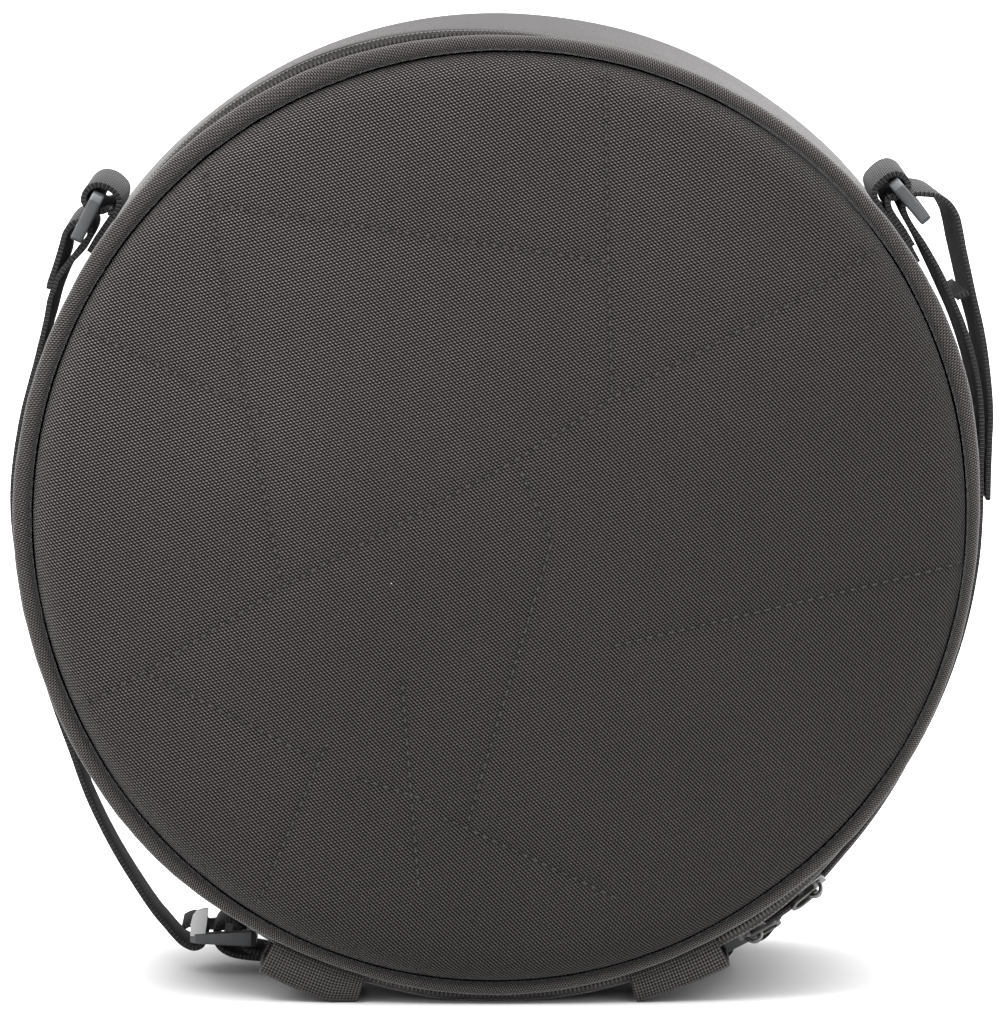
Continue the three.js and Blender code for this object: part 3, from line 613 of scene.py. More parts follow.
face = start_piece(
    "padded_face", bpy.ops.mesh.primitive_circle_add, vertices=FACE_RING, radius=FACE_START * MM,
    location=(0, 0, AXIS_HEIGHT), rotation=(math.pi / 2, 0, 0),
)
with editing(face):
    bpy.ops.mesh.fill_grid(span=FACE_RING // 4)
    bpy.ops.mesh.select_all(action="SELECT")
    bpy.ops.mesh.region_to_loop()
    for rim_now, rim_next in zip([FACE_START, *RIM_STEPS], RIM_STEPS, strict=False):
        wider = rim_next / rim_now
        bpy.ops.mesh.extrude_edges_move()
        bpy.ops.transform.resize(value=(wider, 1, wider), center_override=(0, 0, AXIS_HEIGHT))
    bpy.ops.mesh.select_all(action="SELECT")
    bpy.ops.mesh.normals_make_consistent(inside=False)

places = vertex_places(face)
places[:, 1] = np.interp(from_axis(places) / MM, DOME_AT, DOME_Y) * MM
stretch = (seam_radius(round_angles(places)) - SEAM_GAP) * MM / FACE_RIM
set_radius(places, from_axis(places) * stretch)
move_vertices(face, places)
if face.data.polygons[0].normal.y > 0:
    face.data.flip_normals()
print("face:", len(face.data.vertices), "vertices")

# %% [markdown]
# ### The quilting
# Each seam is a straight run between two points of the face, in millimetres from its middle. The pad is held
# down along them while it swells.

# %% Lay out the quilting seams
SEAM_RUNS = [
    [(-100.3, 111.7), (38, 91.8)],
    [(36.9, 161), (38.3, 91.5), (39.7, 44.3)],
    [
        (-148.9, -67.4), (-123, -52.8), (-78, -24.5), (4.6, 20.6), (40.1, 43.6),
        (61.4, 55), (101.8, 76.2), (130.2, 94),
    ],
    [(-147.8, 67.7), (-87.5, 39.4)],
    [(-103.9, 122.3), (-92.2, 56), (-78, -19.5)],
    [(7.1, 18.1), (18.5, -7.8), (-11.7, -109.6)],
    [(-63.8, -85.8), (-84, -133)],
    [(-125.1, -55), (-67.3, -84.8)],
    [(-34.4, -62.1), (-29.4, -125.9)],
    [(-46.1, -94), (-30.8, -98.9)],
    [(-14.1, -109.6), (35.5, -133)],
    [(43.7, -44.3), (163.1, -16)],
]
seams = [
    (np.array(a) * MM, np.array(b) * MM) for run in SEAM_RUNS for a, b in zip(run, run[1:], strict=False)
]


def nearest_seam(points):
    """For each point of the face: the distance to the nearest seam, and that seam's number."""
    best = np.full(len(points), FAR_FROM_STITCHES)
    which = np.zeros(len(points), int)
    for number, (a, b) in enumerate(seams):
        way = (b - a) / np.linalg.norm(b - a)
        t = np.clip((points - a) @ way, 0, np.linalg.norm(b - a))
        apart = np.linalg.norm(points - a - t[:, None] * way, axis=1)
        closer = apart < best
        best[closer] = apart[closer]
        which[closer] = number
    return best, which


def face_points(places):
    return np.column_stack([places[:, 0], places[:, 2] - AXIS_HEIGHT])


print("quilting:", len(seams), "straight lengths")

# %% [markdown]
# ### Swelling the pad
# Pressure pushes the cloth out between the pinned seams. No point may move further than a small cap, so the
# pad stays in the space that its solid holds. Afterwards one subdivision halves the grid and the seams are
# pressed in a little further, because thread pulls tighter than a pin.

# %% Swell and quilt the face
SWELL_CAP = 1.5 * MM
SWELL_FRAMES = 20
SWELL_FORCE = 4
SWELL_STIFFNESS = 25
HELD_RIM = 155 * MM
SEAM_HOLD = 5 * MM
SEAM_PRESS = 0.7 * MM
SEAM_PRESS_REACH = 3.2 * MM
QUILTED_TO = 160 * MM
RIPPLE = 0.22 * MM

flat_places = vertex_places(face)
apart = nearest_seam(face_points(flat_places))[0]
pins = face.vertex_groups.new(name="sewn")
hold = np.maximum(1 - apart / SEAM_HOLD, (from_axis(flat_places) > HELD_RIM).astype(float))
for index in np.flatnonzero(hold > 0):
    pins.add([int(index)], float(hold[index]), "REPLACE")
select_only(face)
cloth = face.modifiers.new("swell", "CLOTH")
cloth.settings.quality = 5
cloth.settings.vertex_group_mass = "sewn"
cloth.settings.use_pressure = True
cloth.settings.uniform_pressure_force = SWELL_FORCE
cloth.settings.tension_stiffness = SWELL_STIFFNESS
cloth.settings.compression_stiffness = SWELL_STIFFNESS
cloth.settings.effector_weights.gravity = 0
cloth.point_cache.frame_end = SWELL_FRAMES
for step in range(1, SWELL_FRAMES + 1):
    bpy.context.scene.frame_set(step)
bpy.ops.object.modifier_apply(modifier=cloth.name)
bpy.context.scene.frame_set(1)
shift = vertex_places(face) - flat_places
length = np.maximum(np.linalg.norm(shift, axis=1), 1e-9)
shift *= (SWELL_CAP * np.tanh(length / SWELL_CAP) / length)[:, None]
move_vertices(face, flat_places + shift)
print("pad swelled by up to", round(float(length.max()) / MM, 2), "mm before the cap")

apply_modifier(face, "SUBSURF", levels=1, render_levels=1)
places = vertex_places(face)
apart = nearest_seam(face_points(places))[0]
press = SEAM_PRESS * np.exp(-((apart / SEAM_PRESS_REACH) ** 2))
ripple = noise_round(places, 38) + 0.5 * noise_round(places, 110)
places[:, 1] += (press + ripple * RIPPLE) * (from_axis(places) < QUILTED_TO)
move_vertices(face, places)

# %% [markdown]
# ### Closing the pad and laying its maps
# The pad's back is closed by extruding the rim inwards and filling it. The threads run along the two
# diagonals of the face, and each face of the mesh measures its stitches from one seam, so the rows stay
# straight whatever the mesh does.

# %% Close the face and map it
WARP_NORMAL = (0.72, -0.69)
WEFT_NORMAL = (0.707, 0.707)
RIM_TURN = 0.6 * MM
RIM_SHRINK = 0.985
STITCHED_WITHIN = 6 * MM

with editing(face):
    bpy.ops.mesh.region_to_loop()
    bpy.ops.mesh.extrude_edges_move(TRANSFORM_OT_translate={"value": (0, RIM_TURN, 0)})
    bpy.ops.transform.resize(value=(RIM_SHRINK, 1, RIM_SHRINK), center_override=(0, 0, AXIS_HEIGHT))
    bpy.ops.mesh.edge_face_add()

points = face_points(vertex_places(face))[corner_vertices(face)]
dome_steps = np.hypot(np.diff(DOME_AT), np.diff(DOME_Y))
dome_reach = np.concatenate([[0], np.cumsum(dome_steps)])
from_middle = np.maximum(np.linalg.norm(points, axis=1), MM)
rim = (seam_radius(np.degrees(np.arctan2(points[:, 1], points[:, 0]))) - SEAM_GAP) * MM
reach = np.interp(from_middle / rim * FACE_RIM / MM, DOME_AT, dome_reach) * MM
unrolled = points * (reach / from_middle)[:, None]
lay_map(face, "weave", unrolled @ np.array(WARP_NORMAL), unrolled @ np.array(WEFT_NORMAL))
lay_bare_stitches(face)
face_apart, face_seam = nearest_seam(face_points(polygon_vectors(face, "center")))
totals = polygon_values(face, "loop_total")
corner_seam = np.repeat(face_seam, totals)
corner_near = np.repeat(face_apart < STITCHED_WITHIN, totals)
seam_starts = np.array([a for a, b in seams])[corner_seam]
seam_ways = np.array([(b - a) / np.linalg.norm(b - a) for a, b in seams])[corner_seam]
offset = points - seam_starts
seam_along = (offset * seam_ways).sum(axis=1)
seam_across = offset[:, 0] * seam_ways[:, 1] - offset[:, 1] * seam_ways[:, 0]
lay_map(face, "stitches", seam_along, np.where(corner_near, seam_across, FAR_FROM_STITCHES))
hand_over(face, "bag", "canvas", canvas, "front_panel")

# %% [markdown]
# ## The piping
# A cord covered with a strip of the same canvas runs round the face. A torus is the natural start: its ring
# is pulled to the drum's outline, its tube is squeezed to the width that the cord has at each angle and is
# lumpy by a hair. The strip's inner side, in the groove beside the face, is darkened with painted shade.

# %% Make the piping
PIPING_HALF_DEPTH = 3.3 * MM
PIPING_Y = -71.2 * MM
PIPING_SEAM_GAP = 0.2
PIPING_SHADED_TURN = 0.6 * math.pi
PIPING_LUMP = 0.05
PIPING_THREAD_TURN = 20

piping = start_piece(
    "face_piping", bpy.ops.mesh.primitive_torus_add, major_segments=256, minor_segments=20,
    major_radius=MEAN_RADIUS * MM, minor_radius=PIPING_HALF_DEPTH,
    location=(0, PIPING_Y, AXIS_HEIGHT), rotation=(math.pi / 2, 0, 0),
)
apply_modifier(piping, "SUBSURF", subdivision_type="SIMPLE", levels=1, render_levels=1)
places = vertex_places(piping)
angles = round_angles(places)
tube_turn = np.arctan2(places[:, 1] - PIPING_Y, from_axis(places) - MEAN_RADIUS * MM)
swelled = 1 + (noise_round(places, 60) + noise_round(places, 150)) * PIPING_LUMP
half_width = (cord_width(angles) - PIPING_SEAM_GAP) / 2
radius = (piping_radius(angles) + PIPING_SEAM_GAP / 2 + half_width * np.cos(tube_turn) * swelled) * MM
set_radius(places, radius)
places[:, 1] = PIPING_Y + PIPING_HALF_DEPTH * np.sin(tube_turn) * swelled
move_vertices(piping, places)
corner_turns = tube_turn[corner_vertices(piping)]
first_turns = np.repeat(corner_turns[::4], 4)
turns = first_turns + np.mod(corner_turns - first_turns + math.pi, 2 * math.pi) - math.pi
around = corners_round(piping)
lay_map(piping, "weave", *turned(turns * PIPING_HALF_DEPTH, around, PIPING_THREAD_TURN))
# The stitch map measures from the strip's inner side, so the finish darkens that side: painted shade in the
# groove.
lay_map(piping, "stitches", around, (math.pi - np.abs(corner_turns)) / PIPING_SHADED_TURN * DENT_REACH)
hand_over(piping, "bag", "canvas", piping_canvas_painted_lighter, "front_piping")

# %% [markdown]
# ## Bands round the drum
# The lid's side, the zip tape, the hinge and the side wall are all bands of cloth round the drum. Each is
# drawn as one section: a single vertex is extruded from point to point, and the line is spun round the axis.
# The spun band is round, so every point is then moved to the section that the drum has at its own angle, and
# a Solidify modifier gives the cloth its thickness.

# %% Helpers for bands
TAPE_Y = -45
TAPE_HALF = 6.5
TAPE_UNDER_HEM = 2.6
FLOOR_ZONE = 12 * MM


def tape_point(angle, across, lift):
    """A point on the zip tape: across from the lid's side to the wall's, lift off its outer face, in mm."""
    lid_side = lid_radius(angle) - TAPE_UNDER_HEM
    hem_side = hem_radius(angle) - TAPE_UNDER_HEM
    slope = np.arctan2(hem_side - lid_side, 2 * TAPE_HALF)
    middle = (lid_side + hem_side) / 2
    r = middle + across * np.sin(slope) + lift * np.cos(slope)
    y = TAPE_Y + across * np.cos(slope) - lift * np.sin(slope)
    return r, y


def tape_points(angle, spots):
    return [tape_point(angle, across, lift) for across, lift in spots]


def draw_band(name, section, first_angle, last_angle, steps):
    """Extrudes a section's line, spins it round the drum and fits it to the section at each angle."""
    start = [(float(r), float(y)) for r, y in section(np.array(float(first_angle)))]
    piece = start_piece(name, bpy.ops.mesh.primitive_plane_add, size=MM)
    turn = math.radians(first_angle)
    line = []
    for r, y in start:
        line.append(Vector((r * math.cos(turn) * MM, y * MM, AXIS_HEIGHT + r * math.sin(turn) * MM)))
    with editing(piece):
        bpy.ops.mesh.merge(type="CENTER")
        bpy.ops.transform.translate(value=line[0])
        for here, there in zip(line, line[1:], strict=False):
            bpy.ops.mesh.extrude_vertices_move(TRANSFORM_OT_translate={"value": there - here})
        bpy.ops.mesh.select_all(action="SELECT")
        sweep = math.radians(last_angle - first_angle)
        bpy.ops.mesh.spin(steps=steps, angle=sweep, center=(0, 0, AXIS_HEIGHT), axis=(0, 1, 0))
        bpy.ops.mesh.select_all(action="SELECT")
        bpy.ops.mesh.remove_doubles(threshold=1e-6)

    places = vertex_places(piece)
    angles = round_angles(places)
    radius = from_axis(places) / MM
    table = np.array(start)
    apart = (radius[:, None] - table[:, 0]) ** 2 + (places[:, 1:2] / MM - table[:, 1]) ** 2
    rows = apart.argmin(axis=1)
    fitted = np.array([np.broadcast_arrays(r, y, angles)[:2] for r, y in section(angles)])
    new_radius, new_y = fitted[rows, :, np.arange(len(rows))].T
    places[:, 1] = new_y * MM
    set_radius(places, new_radius * MM)
    move_vertices(piece, places)
    steps_along = np.hypot(*np.diff(table, axis=0).T)
    return piece, rows, np.concatenate([[0], np.cumsum(steps_along)]) * MM


def map_band(piece, rows, lengths, thread_turn=0, stitch_rows=()):
    """Lays both maps on a band: round the drum by across the section, with stitches along given rows."""
    around = corners_round(piece)
    over = lengths[rows][corner_vertices(piece)]
    lay_map(piece, "weave", *turned(around, over, thread_turn))
    lay_bare_stitches(piece)
    if stitch_rows:
        offsets = np.array([over - lengths[row] for row in stitch_rows])
        nearest = np.abs(offsets).argmin(axis=0)
        lay_map(piece, "stitches", around, offsets[nearest, np.arange(len(over))])


def face_outwards(piece):
    """Turns a band's cloth so that its outer side faces away from the drum's axis."""
    with editing(piece):
        bpy.ops.mesh.normals_make_consistent(inside=False)
    outward = polygon_vectors(piece, "center") - (0, 0, AXIS_HEIGHT)
    facing = (polygon_vectors(piece, "normal") * outward)[:, [0, 2]].sum(axis=1)
    if np.sum(facing * polygon_values(piece, "area", float)) < 0:
        piece.data.flip_normals()


def ruffle(piece, swing, size):
    """Moves a band's points in and out by a little smooth noise, as cloth that has been handled."""
    places = vertex_places(piece)
    wave = noise_round(places, 1 / size) * swing
    wave = np.where(places[:, 2] < FLOOR_ZONE, np.minimum(wave, 0), wave)
    set_radius(places, from_axis(places) + wave)
    move_vertices(piece, places)


def thicken(piece, thickness, swing=0, size=1):
    """Faces a band's cloth outwards, ruffles it and gives it its thickness."""
    face_outwards(piece)
    if swing:
        ruffle(piece, swing, size)
    apply_modifier(piece, "SOLIDIFY", thickness=thickness, offset=-1)


print("tape at the top:", [round(float(v), 1) for v in tape_point(np.array(90.0), 0, 0)])

# %% [markdown]
# ### The lid's side
# Behind the piping the lid turns over a soft shoulder and ends in a folded hem beside the zip, with one row
# of stitches close to the fold.

# %% Make the lid's band
LID_FRONT_Y = -68.4
LID_CLOTH = 0.9 * MM
LID_SHOULDER = [(0.35, 1.3), (0.78, 1.6), (0.96, 2.9), (1, 5.4)]
LID_TOP = [(0, -57.5), (0.1, -55), (0.25, -53.2)]
LID_HEM = [(-6.6, 2.5), (-5.2, 2.5), (-4.6, 2.1), (-4.5, 1.5), (-4.9, 1.0), (-6.2, 0.9)]


def lid_section(angle):
    crown = lid_radius(angle)
    seam = piping_radius(angle)
    return [
        (seam - 1.6, LID_FRONT_Y - 0.3),
        (seam - 0.4, LID_FRONT_Y + 0.9),
        *[(seam + (crown - seam) * share, LID_FRONT_Y + behind) for share, behind in LID_SHOULDER],
        *[(crown - drop, y) for drop, y in LID_TOP],
        *tape_points(angle, LID_HEM),
    ]


lid, *lid_layout = draw_band("lid_side", lid_section, 0, 360, steps=360)
map_band(lid, *lid_layout, stitch_rows=[8])
thicken(lid, LID_CLOTH, swing=0.35 * MM, size=30 * MM)
hand_over(lid, "bag", "smooth_cloth", lid_canvas_painted_lighter, "lid_band")

# %% [markdown]
# ### The side wall
# The wide wall starts with a hem beside the zip, stitched down like the lid's, and runs to the back with a
# slight belly. Handling leaves it a little uneven.

# %% Make the side wall
WALL_CLOTH = 1.6 * MM
WALL_HEM = [(6.2, 0.9), (4.9, 1.0), (4.5, 1.5), (4.6, 2.1), (5.2, 2.5), (6.8, 2.6)]
WALL_STEPS = [-20, -12, -2, 8, 18, 28, 38, 48, 58]
WALL_END = [(0.1, 65), (0.3, 69.4), (0.9, 71.4), (2.6, 71.9)]


def wall_section(angle):
    hem = hem_radius(angle)
    wall = wall_radius(angle)
    return [
        *tape_points(angle, WALL_HEM),
        (hem - 0.05, -36.5),
        (hem, -34.5),
        (hem * 0.85 + wall * 0.15 - 0.1, -32),
        (hem * 0.55 + wall * 0.45, -27),
        *[(wall, y) for y in WALL_STEPS],
        *[(wall - drop, y) for drop, y in WALL_END],
    ]


wall, *wall_layout = draw_band("side_wall", wall_section, 0, 360, steps=360)
map_band(wall, *wall_layout, stitch_rows=[7, 19])
thicken(wall, WALL_CLOTH, swing=0.55 * MM, size=45 * MM)
hand_over(wall, "bag", "smooth_cloth", side_canvas_painted_lighter, "body_gusset")

# %% [markdown]
# ### The zip
# The tape lies between the two hems and its coil is two rows of nylon loops that mesh in the middle. One
# loop is a small bevelled bar. It is made once, and copies of it are set side by side round the tape, turn
# and turn about from either edge.

# %% Make the zip tape and its coil
ZIP_FROM = 298.2
ZIP_TO = 600
ZIP_CLOTH = 0.9 * MM
TAPE_LINE = [(across, -0.1) for across in (-6.4, -4.6, -2.4, 0, 2.4, 4.6, 6.4)]
COIL_PITCH = 1.7 * MM
COIL_INSET = 0.4
COIL_SIDE = 0.75
COIL_LIFT = 0.85
TOOTH_SIZE = (1.0 * MM, 3.1 * MM, 1.5 * MM)
TOOTH_BEVEL = 0.32 * MM


def tape_section(angle):
    return tape_points(angle, TAPE_LINE)


tape, *tape_layout = draw_band("zip_tape", tape_section, ZIP_FROM, ZIP_TO, steps=300)
map_band(tape, *tape_layout)
thicken(tape, ZIP_CLOTH)
hand_over(tape, "bag", "zip_black", zip_tape_finish, "zip")

tooth = start_piece("zip_coil", bpy.ops.mesh.primitive_cube_add, size=1, scale=TOOTH_SIZE)
with editing(tooth):
    bpy.ops.mesh.bevel(offset=TOOTH_BEVEL, segments=1, affect="EDGES")
one_tooth = vertex_places(tooth)
tooth_faces = [list(polygon.vertices) for polygon in tooth.data.polygons]
coil_length = math.radians(ZIP_TO - ZIP_FROM) * MEAN_RADIUS * MM
tooth_count = int(coil_length / COIL_PITCH) * 2
coil_places = []
coil_faces = []
for number in range(tooth_count):
    side = 1 if number % 2 else -1
    angle = np.array(ZIP_FROM + COIL_INSET + (ZIP_TO - ZIP_FROM - 2 * COIL_INSET) * number / tooth_count)
    turn = math.radians(angle)
    middle = np.array(tape_point(angle, side * COIL_SIDE, COIL_LIFT))
    along = np.array((-math.sin(turn), 0, math.cos(turn)))
    edge_r, edge_y = np.array(tape_point(angle, 1, 0)) - np.array(tape_point(angle, 0, 0))
    across = np.array((edge_r * math.cos(turn), edge_y, edge_r * math.sin(turn)))
    outward = np.cross(across, along)
    centre = np.array((middle[0] * math.cos(turn), middle[1], middle[0] * math.sin(turn))) * MM
    centre[2] += AXIS_HEIGHT
    axes = np.array((along, across, outward))
    coil_faces += [[corner + number * len(one_tooth) for corner in ring] for ring in tooth_faces]
    coil_places.append(one_tooth @ axes + centre)
coil_mesh = bpy.data.meshes.new("zip_coil")
coil_mesh.from_pydata(np.concatenate(coil_places).tolist(), [], coil_faces)
tooth.data = coil_mesh
with editing(tooth):
    bpy.ops.mesh.normals_make_consistent(inside=False)
hand_over(tooth, "bag", "zip_black", coil_nylon)

# %% [markdown]
# ### The hinge and the zip's end tabs
# Underneath, where the lid stays sewn to the body, a strip of canvas bridges the gap. A small folded tab of
# canvas covers each end of the zip.

# %% Make the hinge and tabs
HINGE_FROM = 240.3
HINGE_TO = 297.9
HINGE_CLOTH = 0.9 * MM
HINGE_LINE = [
    (-6.4, -0.1), (-4.4, 0.1), (-3.6, 1.0), (-1.8, 1.5), (0, 1.6),
    (1.8, 1.5), (3.6, 1.0), (4.4, 0.1), (6.4, -0.1),
]
TAB_CLOTH = 0.8 * MM
TAB_STITCHES = 1.6 * MM
TAB_LINE = [
    (-3.8, 2.5), (-3.7, 3.2), (-3.2, 3.5), (-1.6, 3.6), (0, 3.65),
    (1.6, 3.6), (3.2, 3.5), (3.7, 3.2), (3.8, 2.5),
]
TABS = {"zip_end_tab_right": (295.4, 298.5), "zip_end_tab_left": (238.4, 241.6)}


def hinge_section(angle):
    return tape_points(angle, HINGE_LINE)


def tab_section(angle):
    return tape_points(angle, TAB_LINE)


hinge, *hinge_layout = draw_band("lid_hinge", hinge_section, HINGE_FROM, HINGE_TO, steps=60)
map_band(hinge, *hinge_layout, thread_turn=45)
thicken(hinge, HINGE_CLOTH)
hand_over(hinge, "bag", "canvas", canvas, "hinge_strip")

for node, (tab_from, tab_to) in TABS.items():
    tab_name = node.replace("zip_end", "canvas")
    tab, tab_rows, tab_lengths = draw_band(tab_name, tab_section, tab_from, tab_to, steps=8)
    map_band(tab, tab_rows, tab_lengths, thread_turn=45)
    around = corners_round(tab)
    over = tab_lengths[tab_rows][corner_vertices(tab)]
    lay_map(tab, "stitches", over, around - around.min() - TAB_STITCHES)
    thicken(tab, TAB_CLOTH)
    soften_edges(tab, 0.2 * MM, segments=2, degrees=50)
    hand_over(tab, "bag", "canvas", loop_canvas_painted_lighter, node)

# %% [markdown]
# ## The back
# The back is hidden in the photograph and taken to be a plain round of canvas with a turned edge. It is spun
# from one line like the bands, from its middle to the edge that is sewn to the wall.

# %% Make the back panel
BACK_Y = 76
BACK_CLOTH = 1.8 * MM
BACK_HOLE = 0.01
BACK_MIDDLE = [
    (0.12, 0.2), (0.25, 0.15), (0.4, 0.1), (0.55, 0.1), (0.68, 0.1), (0.8, 0.1), (0.88, 0.2), (0.93, 0.4),
]
BACK_EDGE = [(8.4, 0.7), (6.6, 0.35), (4.4, 0.25), (2.4, 0.9), (1.2, 2.1), (1.0, 3.2), (1.9, 3.9)]


def back_section(angle):
    wall = wall_radius(angle)
    return [
        (BACK_HOLE, BACK_Y - 0.2),
        *[(wall * share, BACK_Y - depth) for share, depth in BACK_MIDDLE],
        *[(wall - inset, BACK_Y - depth) for inset, depth in BACK_EDGE],
    ]


back, *back_layout = draw_band("back_round", back_section, 0, 360, steps=240)
map_band(back, *back_layout, stitch_rows=[9])
back_points = face_points(vertex_places(back))[corner_vertices(back)]
lay_map(back, "weave", *turned(back_points[:, 0], back_points[:, 1], degrees=45))
with editing(back):
    bpy.ops.mesh.remove_doubles(threshold=2 * BACK_HOLE * MM)
    bpy.ops.mesh.normals_make_consistent(inside=False)
if back.data.polygons[0].normal.y < 0:
    back.data.flip_normals()
apply_modifier(back, "SOLIDIFY", thickness=BACK_CLOTH, offset=-1)
hand_over(back, "bag", "canvas", canvas, "back_panel")

# %% [markdown]
# ## The belt loops
# Two wide loops of doubled canvas hang under the bag. They are spun from one section as well, only through a
# few degrees, and thickened and softened at the cut edges.

# %% Make the belt loops
LOOP_FRONT_Y = -71
LOOP_BACK_Y = -38
LOOP_CLOTH = 1.8 * MM
LOOP_SIDE = [
    (2.6, 0.2), (1.2, 0.9), (0.3, 2.4), (0, 4.6), (0, 12), (0, 20), (0, 28.6),
    (0.4, 31), (1.4, 32.4), (2.8, 33),
]
LOOPS = {
    "belt_loop_left": {"from": 242.3, "to": 253.8, "reach": 186},
    "belt_loop_right": {"from": 285.6, "to": 296.9, "reach": 182.4},
}


def loop_section_for(reach):
    def loop_section(angle):
        root = seam_radius(angle) + cord_width(angle) + 0.5
        outer = np.minimum(reach, floor_radius(angle) - 0.1)
        return [
            (root, LOOP_FRONT_Y),
            (root + 1.6, LOOP_FRONT_Y - 0.2),
            (root * 0.5 + outer * 0.5, LOOP_FRONT_Y - 0.2),
            *[(outer - inset, LOOP_FRONT_Y + behind) for inset, behind in LOOP_SIDE],
            (hem_radius(angle) + 0.7, LOOP_BACK_Y),
        ]

    return loop_section


for node, size in LOOPS.items():
    section = loop_section_for(size["reach"])
    loop_name = node.replace("belt_loop", "canvas_loop")
    loop, *loop_layout = draw_band(loop_name, section, size["from"], size["to"], steps=16)
    map_band(loop, *loop_layout, thread_turn=45, stitch_rows=[1])
    thicken(loop, LOOP_CLOTH, swing=0.3 * MM, size=18 * MM)
    soften_edges(loop, 0.5 * MM, segments=3, degrees=50)
    hand_over(loop, "bag", "canvas", loop_canvas_painted_lighter, node)

# %% [markdown]
# ## Webbing
# The straps and their anchors are flat webbing, seen edge-on from the front. A short edge across the webbing
# is extruded along its route, step by step, and then gets its thickness and rounded selvedges. A route that
# comes back to where it was sewn is made in two lengths.

# %% Helpers for webbing
WEBBING_WIDTH = 25 * MM
WEBBING_THICK = 2 * MM
STITCH_INSET = 3 * MM
STEPS_PER_ROW = 6
SKEW_DEGREES = 1.15
SKEW_FROM = 20 * MM
SKEW_TO = 70 * MM


def skew(places, leans):
    """Leans the near edge out, and turns the far edge of the upper half's webbing up round the drum."""
    share = places[:, 1] / WEBBING_WIDTH
    stretch = 1 - 2 * leans * share / from_axis(places)
    x = places[:, 0] * stretch
    z = (places[:, 2] - AXIS_HEIGHT) * stretch
    t = np.clip((z - SKEW_FROM) / (SKEW_TO - SKEW_FROM), 0, 1)
    turn = np.radians(SKEW_DEGREES) * np.sign(x) * t * t * (3 - 2 * t) * share
    places[:, 0] = x * np.cos(turn) - z * np.sin(turn)
    places[:, 2] = AXIS_HEIGHT + x * np.sin(turn) + z * np.cos(turn)
    return places


def with_lean(rows):
    """Rows as a table of three columns, with no lean where a row gives none."""
    return np.array([(*row, 0)[:3] for row in rows], float)


def on_drum(rows):
    """Points beside the wall from rows of angle, distance out and lean, in mm from the drum's axis."""
    table = with_lean(rows)
    radius = wall_table(table[:, 0]) + table[:, 1]
    turn = np.radians(table[:, 0])
    return np.column_stack([radius * np.cos(turn), radius * np.sin(turn), table[:, 2]])


def smooth_route(points):
    """A smooth line through the points, with more steps between them."""
    ends = np.vstack([2 * points[0] - points[1], points, 2 * points[-1] - points[-2]])
    line = []
    for before, here, there, after in zip(ends, ends[1:], ends[2:], ends[3:], strict=False):
        pairs = ((before, here), (here, there), (there, after))
        first, span, last = [np.linalg.norm(b - a) ** 0.5 for a, b in pairs]
        step = there - here
        leave = (here - before) * span / first - (there - before) * span / (first + span) + step
        arrive = step - (after - here) * span / (span + last) + (after - there) * span / last
        for t in np.arange(STEPS_PER_ROW) / STEPS_PER_ROW:
            line.append(curve(t, here, there, leave, arrive))
    return np.vstack([line, points[-1]]) * MM


def webbing_length(name, points, stitched):
    """One length of webbing along a route, with rows of stitches where it is sewn."""
    route = smooth_route(points)
    piece = start_piece(name, bpy.ops.mesh.primitive_plane_add, size=WEBBING_WIDTH)
    with editing(piece):
        bpy.ops.transform.resize(value=(0, 1, 1))
        bpy.ops.mesh.remove_doubles(threshold=1e-6)
        bpy.ops.mesh.select_all(action="SELECT")
        bpy.ops.transform.translate(value=(route[0][0], 0, AXIS_HEIGHT + route[0][1]))
        for way in np.diff(route, axis=0):
            bpy.ops.mesh.extrude_edges_move(TRANSFORM_OT_translate={"value": (way[0], 0, way[1])})
    lengths = np.concatenate([[0], np.cumsum(np.hypot(*np.diff(route[:, :2], axis=0).T))])
    places = vertex_places(piece)
    spots = np.arange(len(places)) // 2
    corners = corner_vertices(piece)
    along = lengths[spots][corners]
    across = places[:, 1][corners]
    lay_map(piece, "weave", across, along)
    near = np.zeros(len(along), bool)
    for sewn_from, sewn_to in stitched:
        near |= (along > sewn_from * MM) & (along < sewn_to * MM)
    from_row = np.abs(across) - (WEBBING_WIDTH / 2 - STITCH_INSET)
    lay_map(piece, "stitches", along, np.where(near, from_row, FAR_FROM_STITCHES))
    move_vertices(piece, skew(places, route[spots, 2]))
    apply_modifier(piece, "SUBSURF", subdivision_type="SIMPLE", levels=1, render_levels=1)
    apply_modifier(piece, "SOLIDIFY", thickness=WEBBING_THICK, offset=0, use_even_offset=True)
    soften_edges(piece, 0.6 * MM, segments=2, degrees=60)
    return piece


def join_lengths(pieces):
    select_only(pieces[0])
    for piece in pieces[1:]:
        piece.select_set(True)
    bpy.ops.object.join()
    return pieces[0]


print("webbing:", round(WEBBING_WIDTH / MM), "mm wide")

# %% [markdown]
# ### Anchors and straps
# Each anchor is sewn to the wall, goes round a bar of its fitting and back under itself. A row holds the
# angle or place, the distance out and how far the webbing leans, with its near edge further out. The right
# strap runs from its free tail through the adjuster and down the wall, the left one from its ring to the
# buckle.

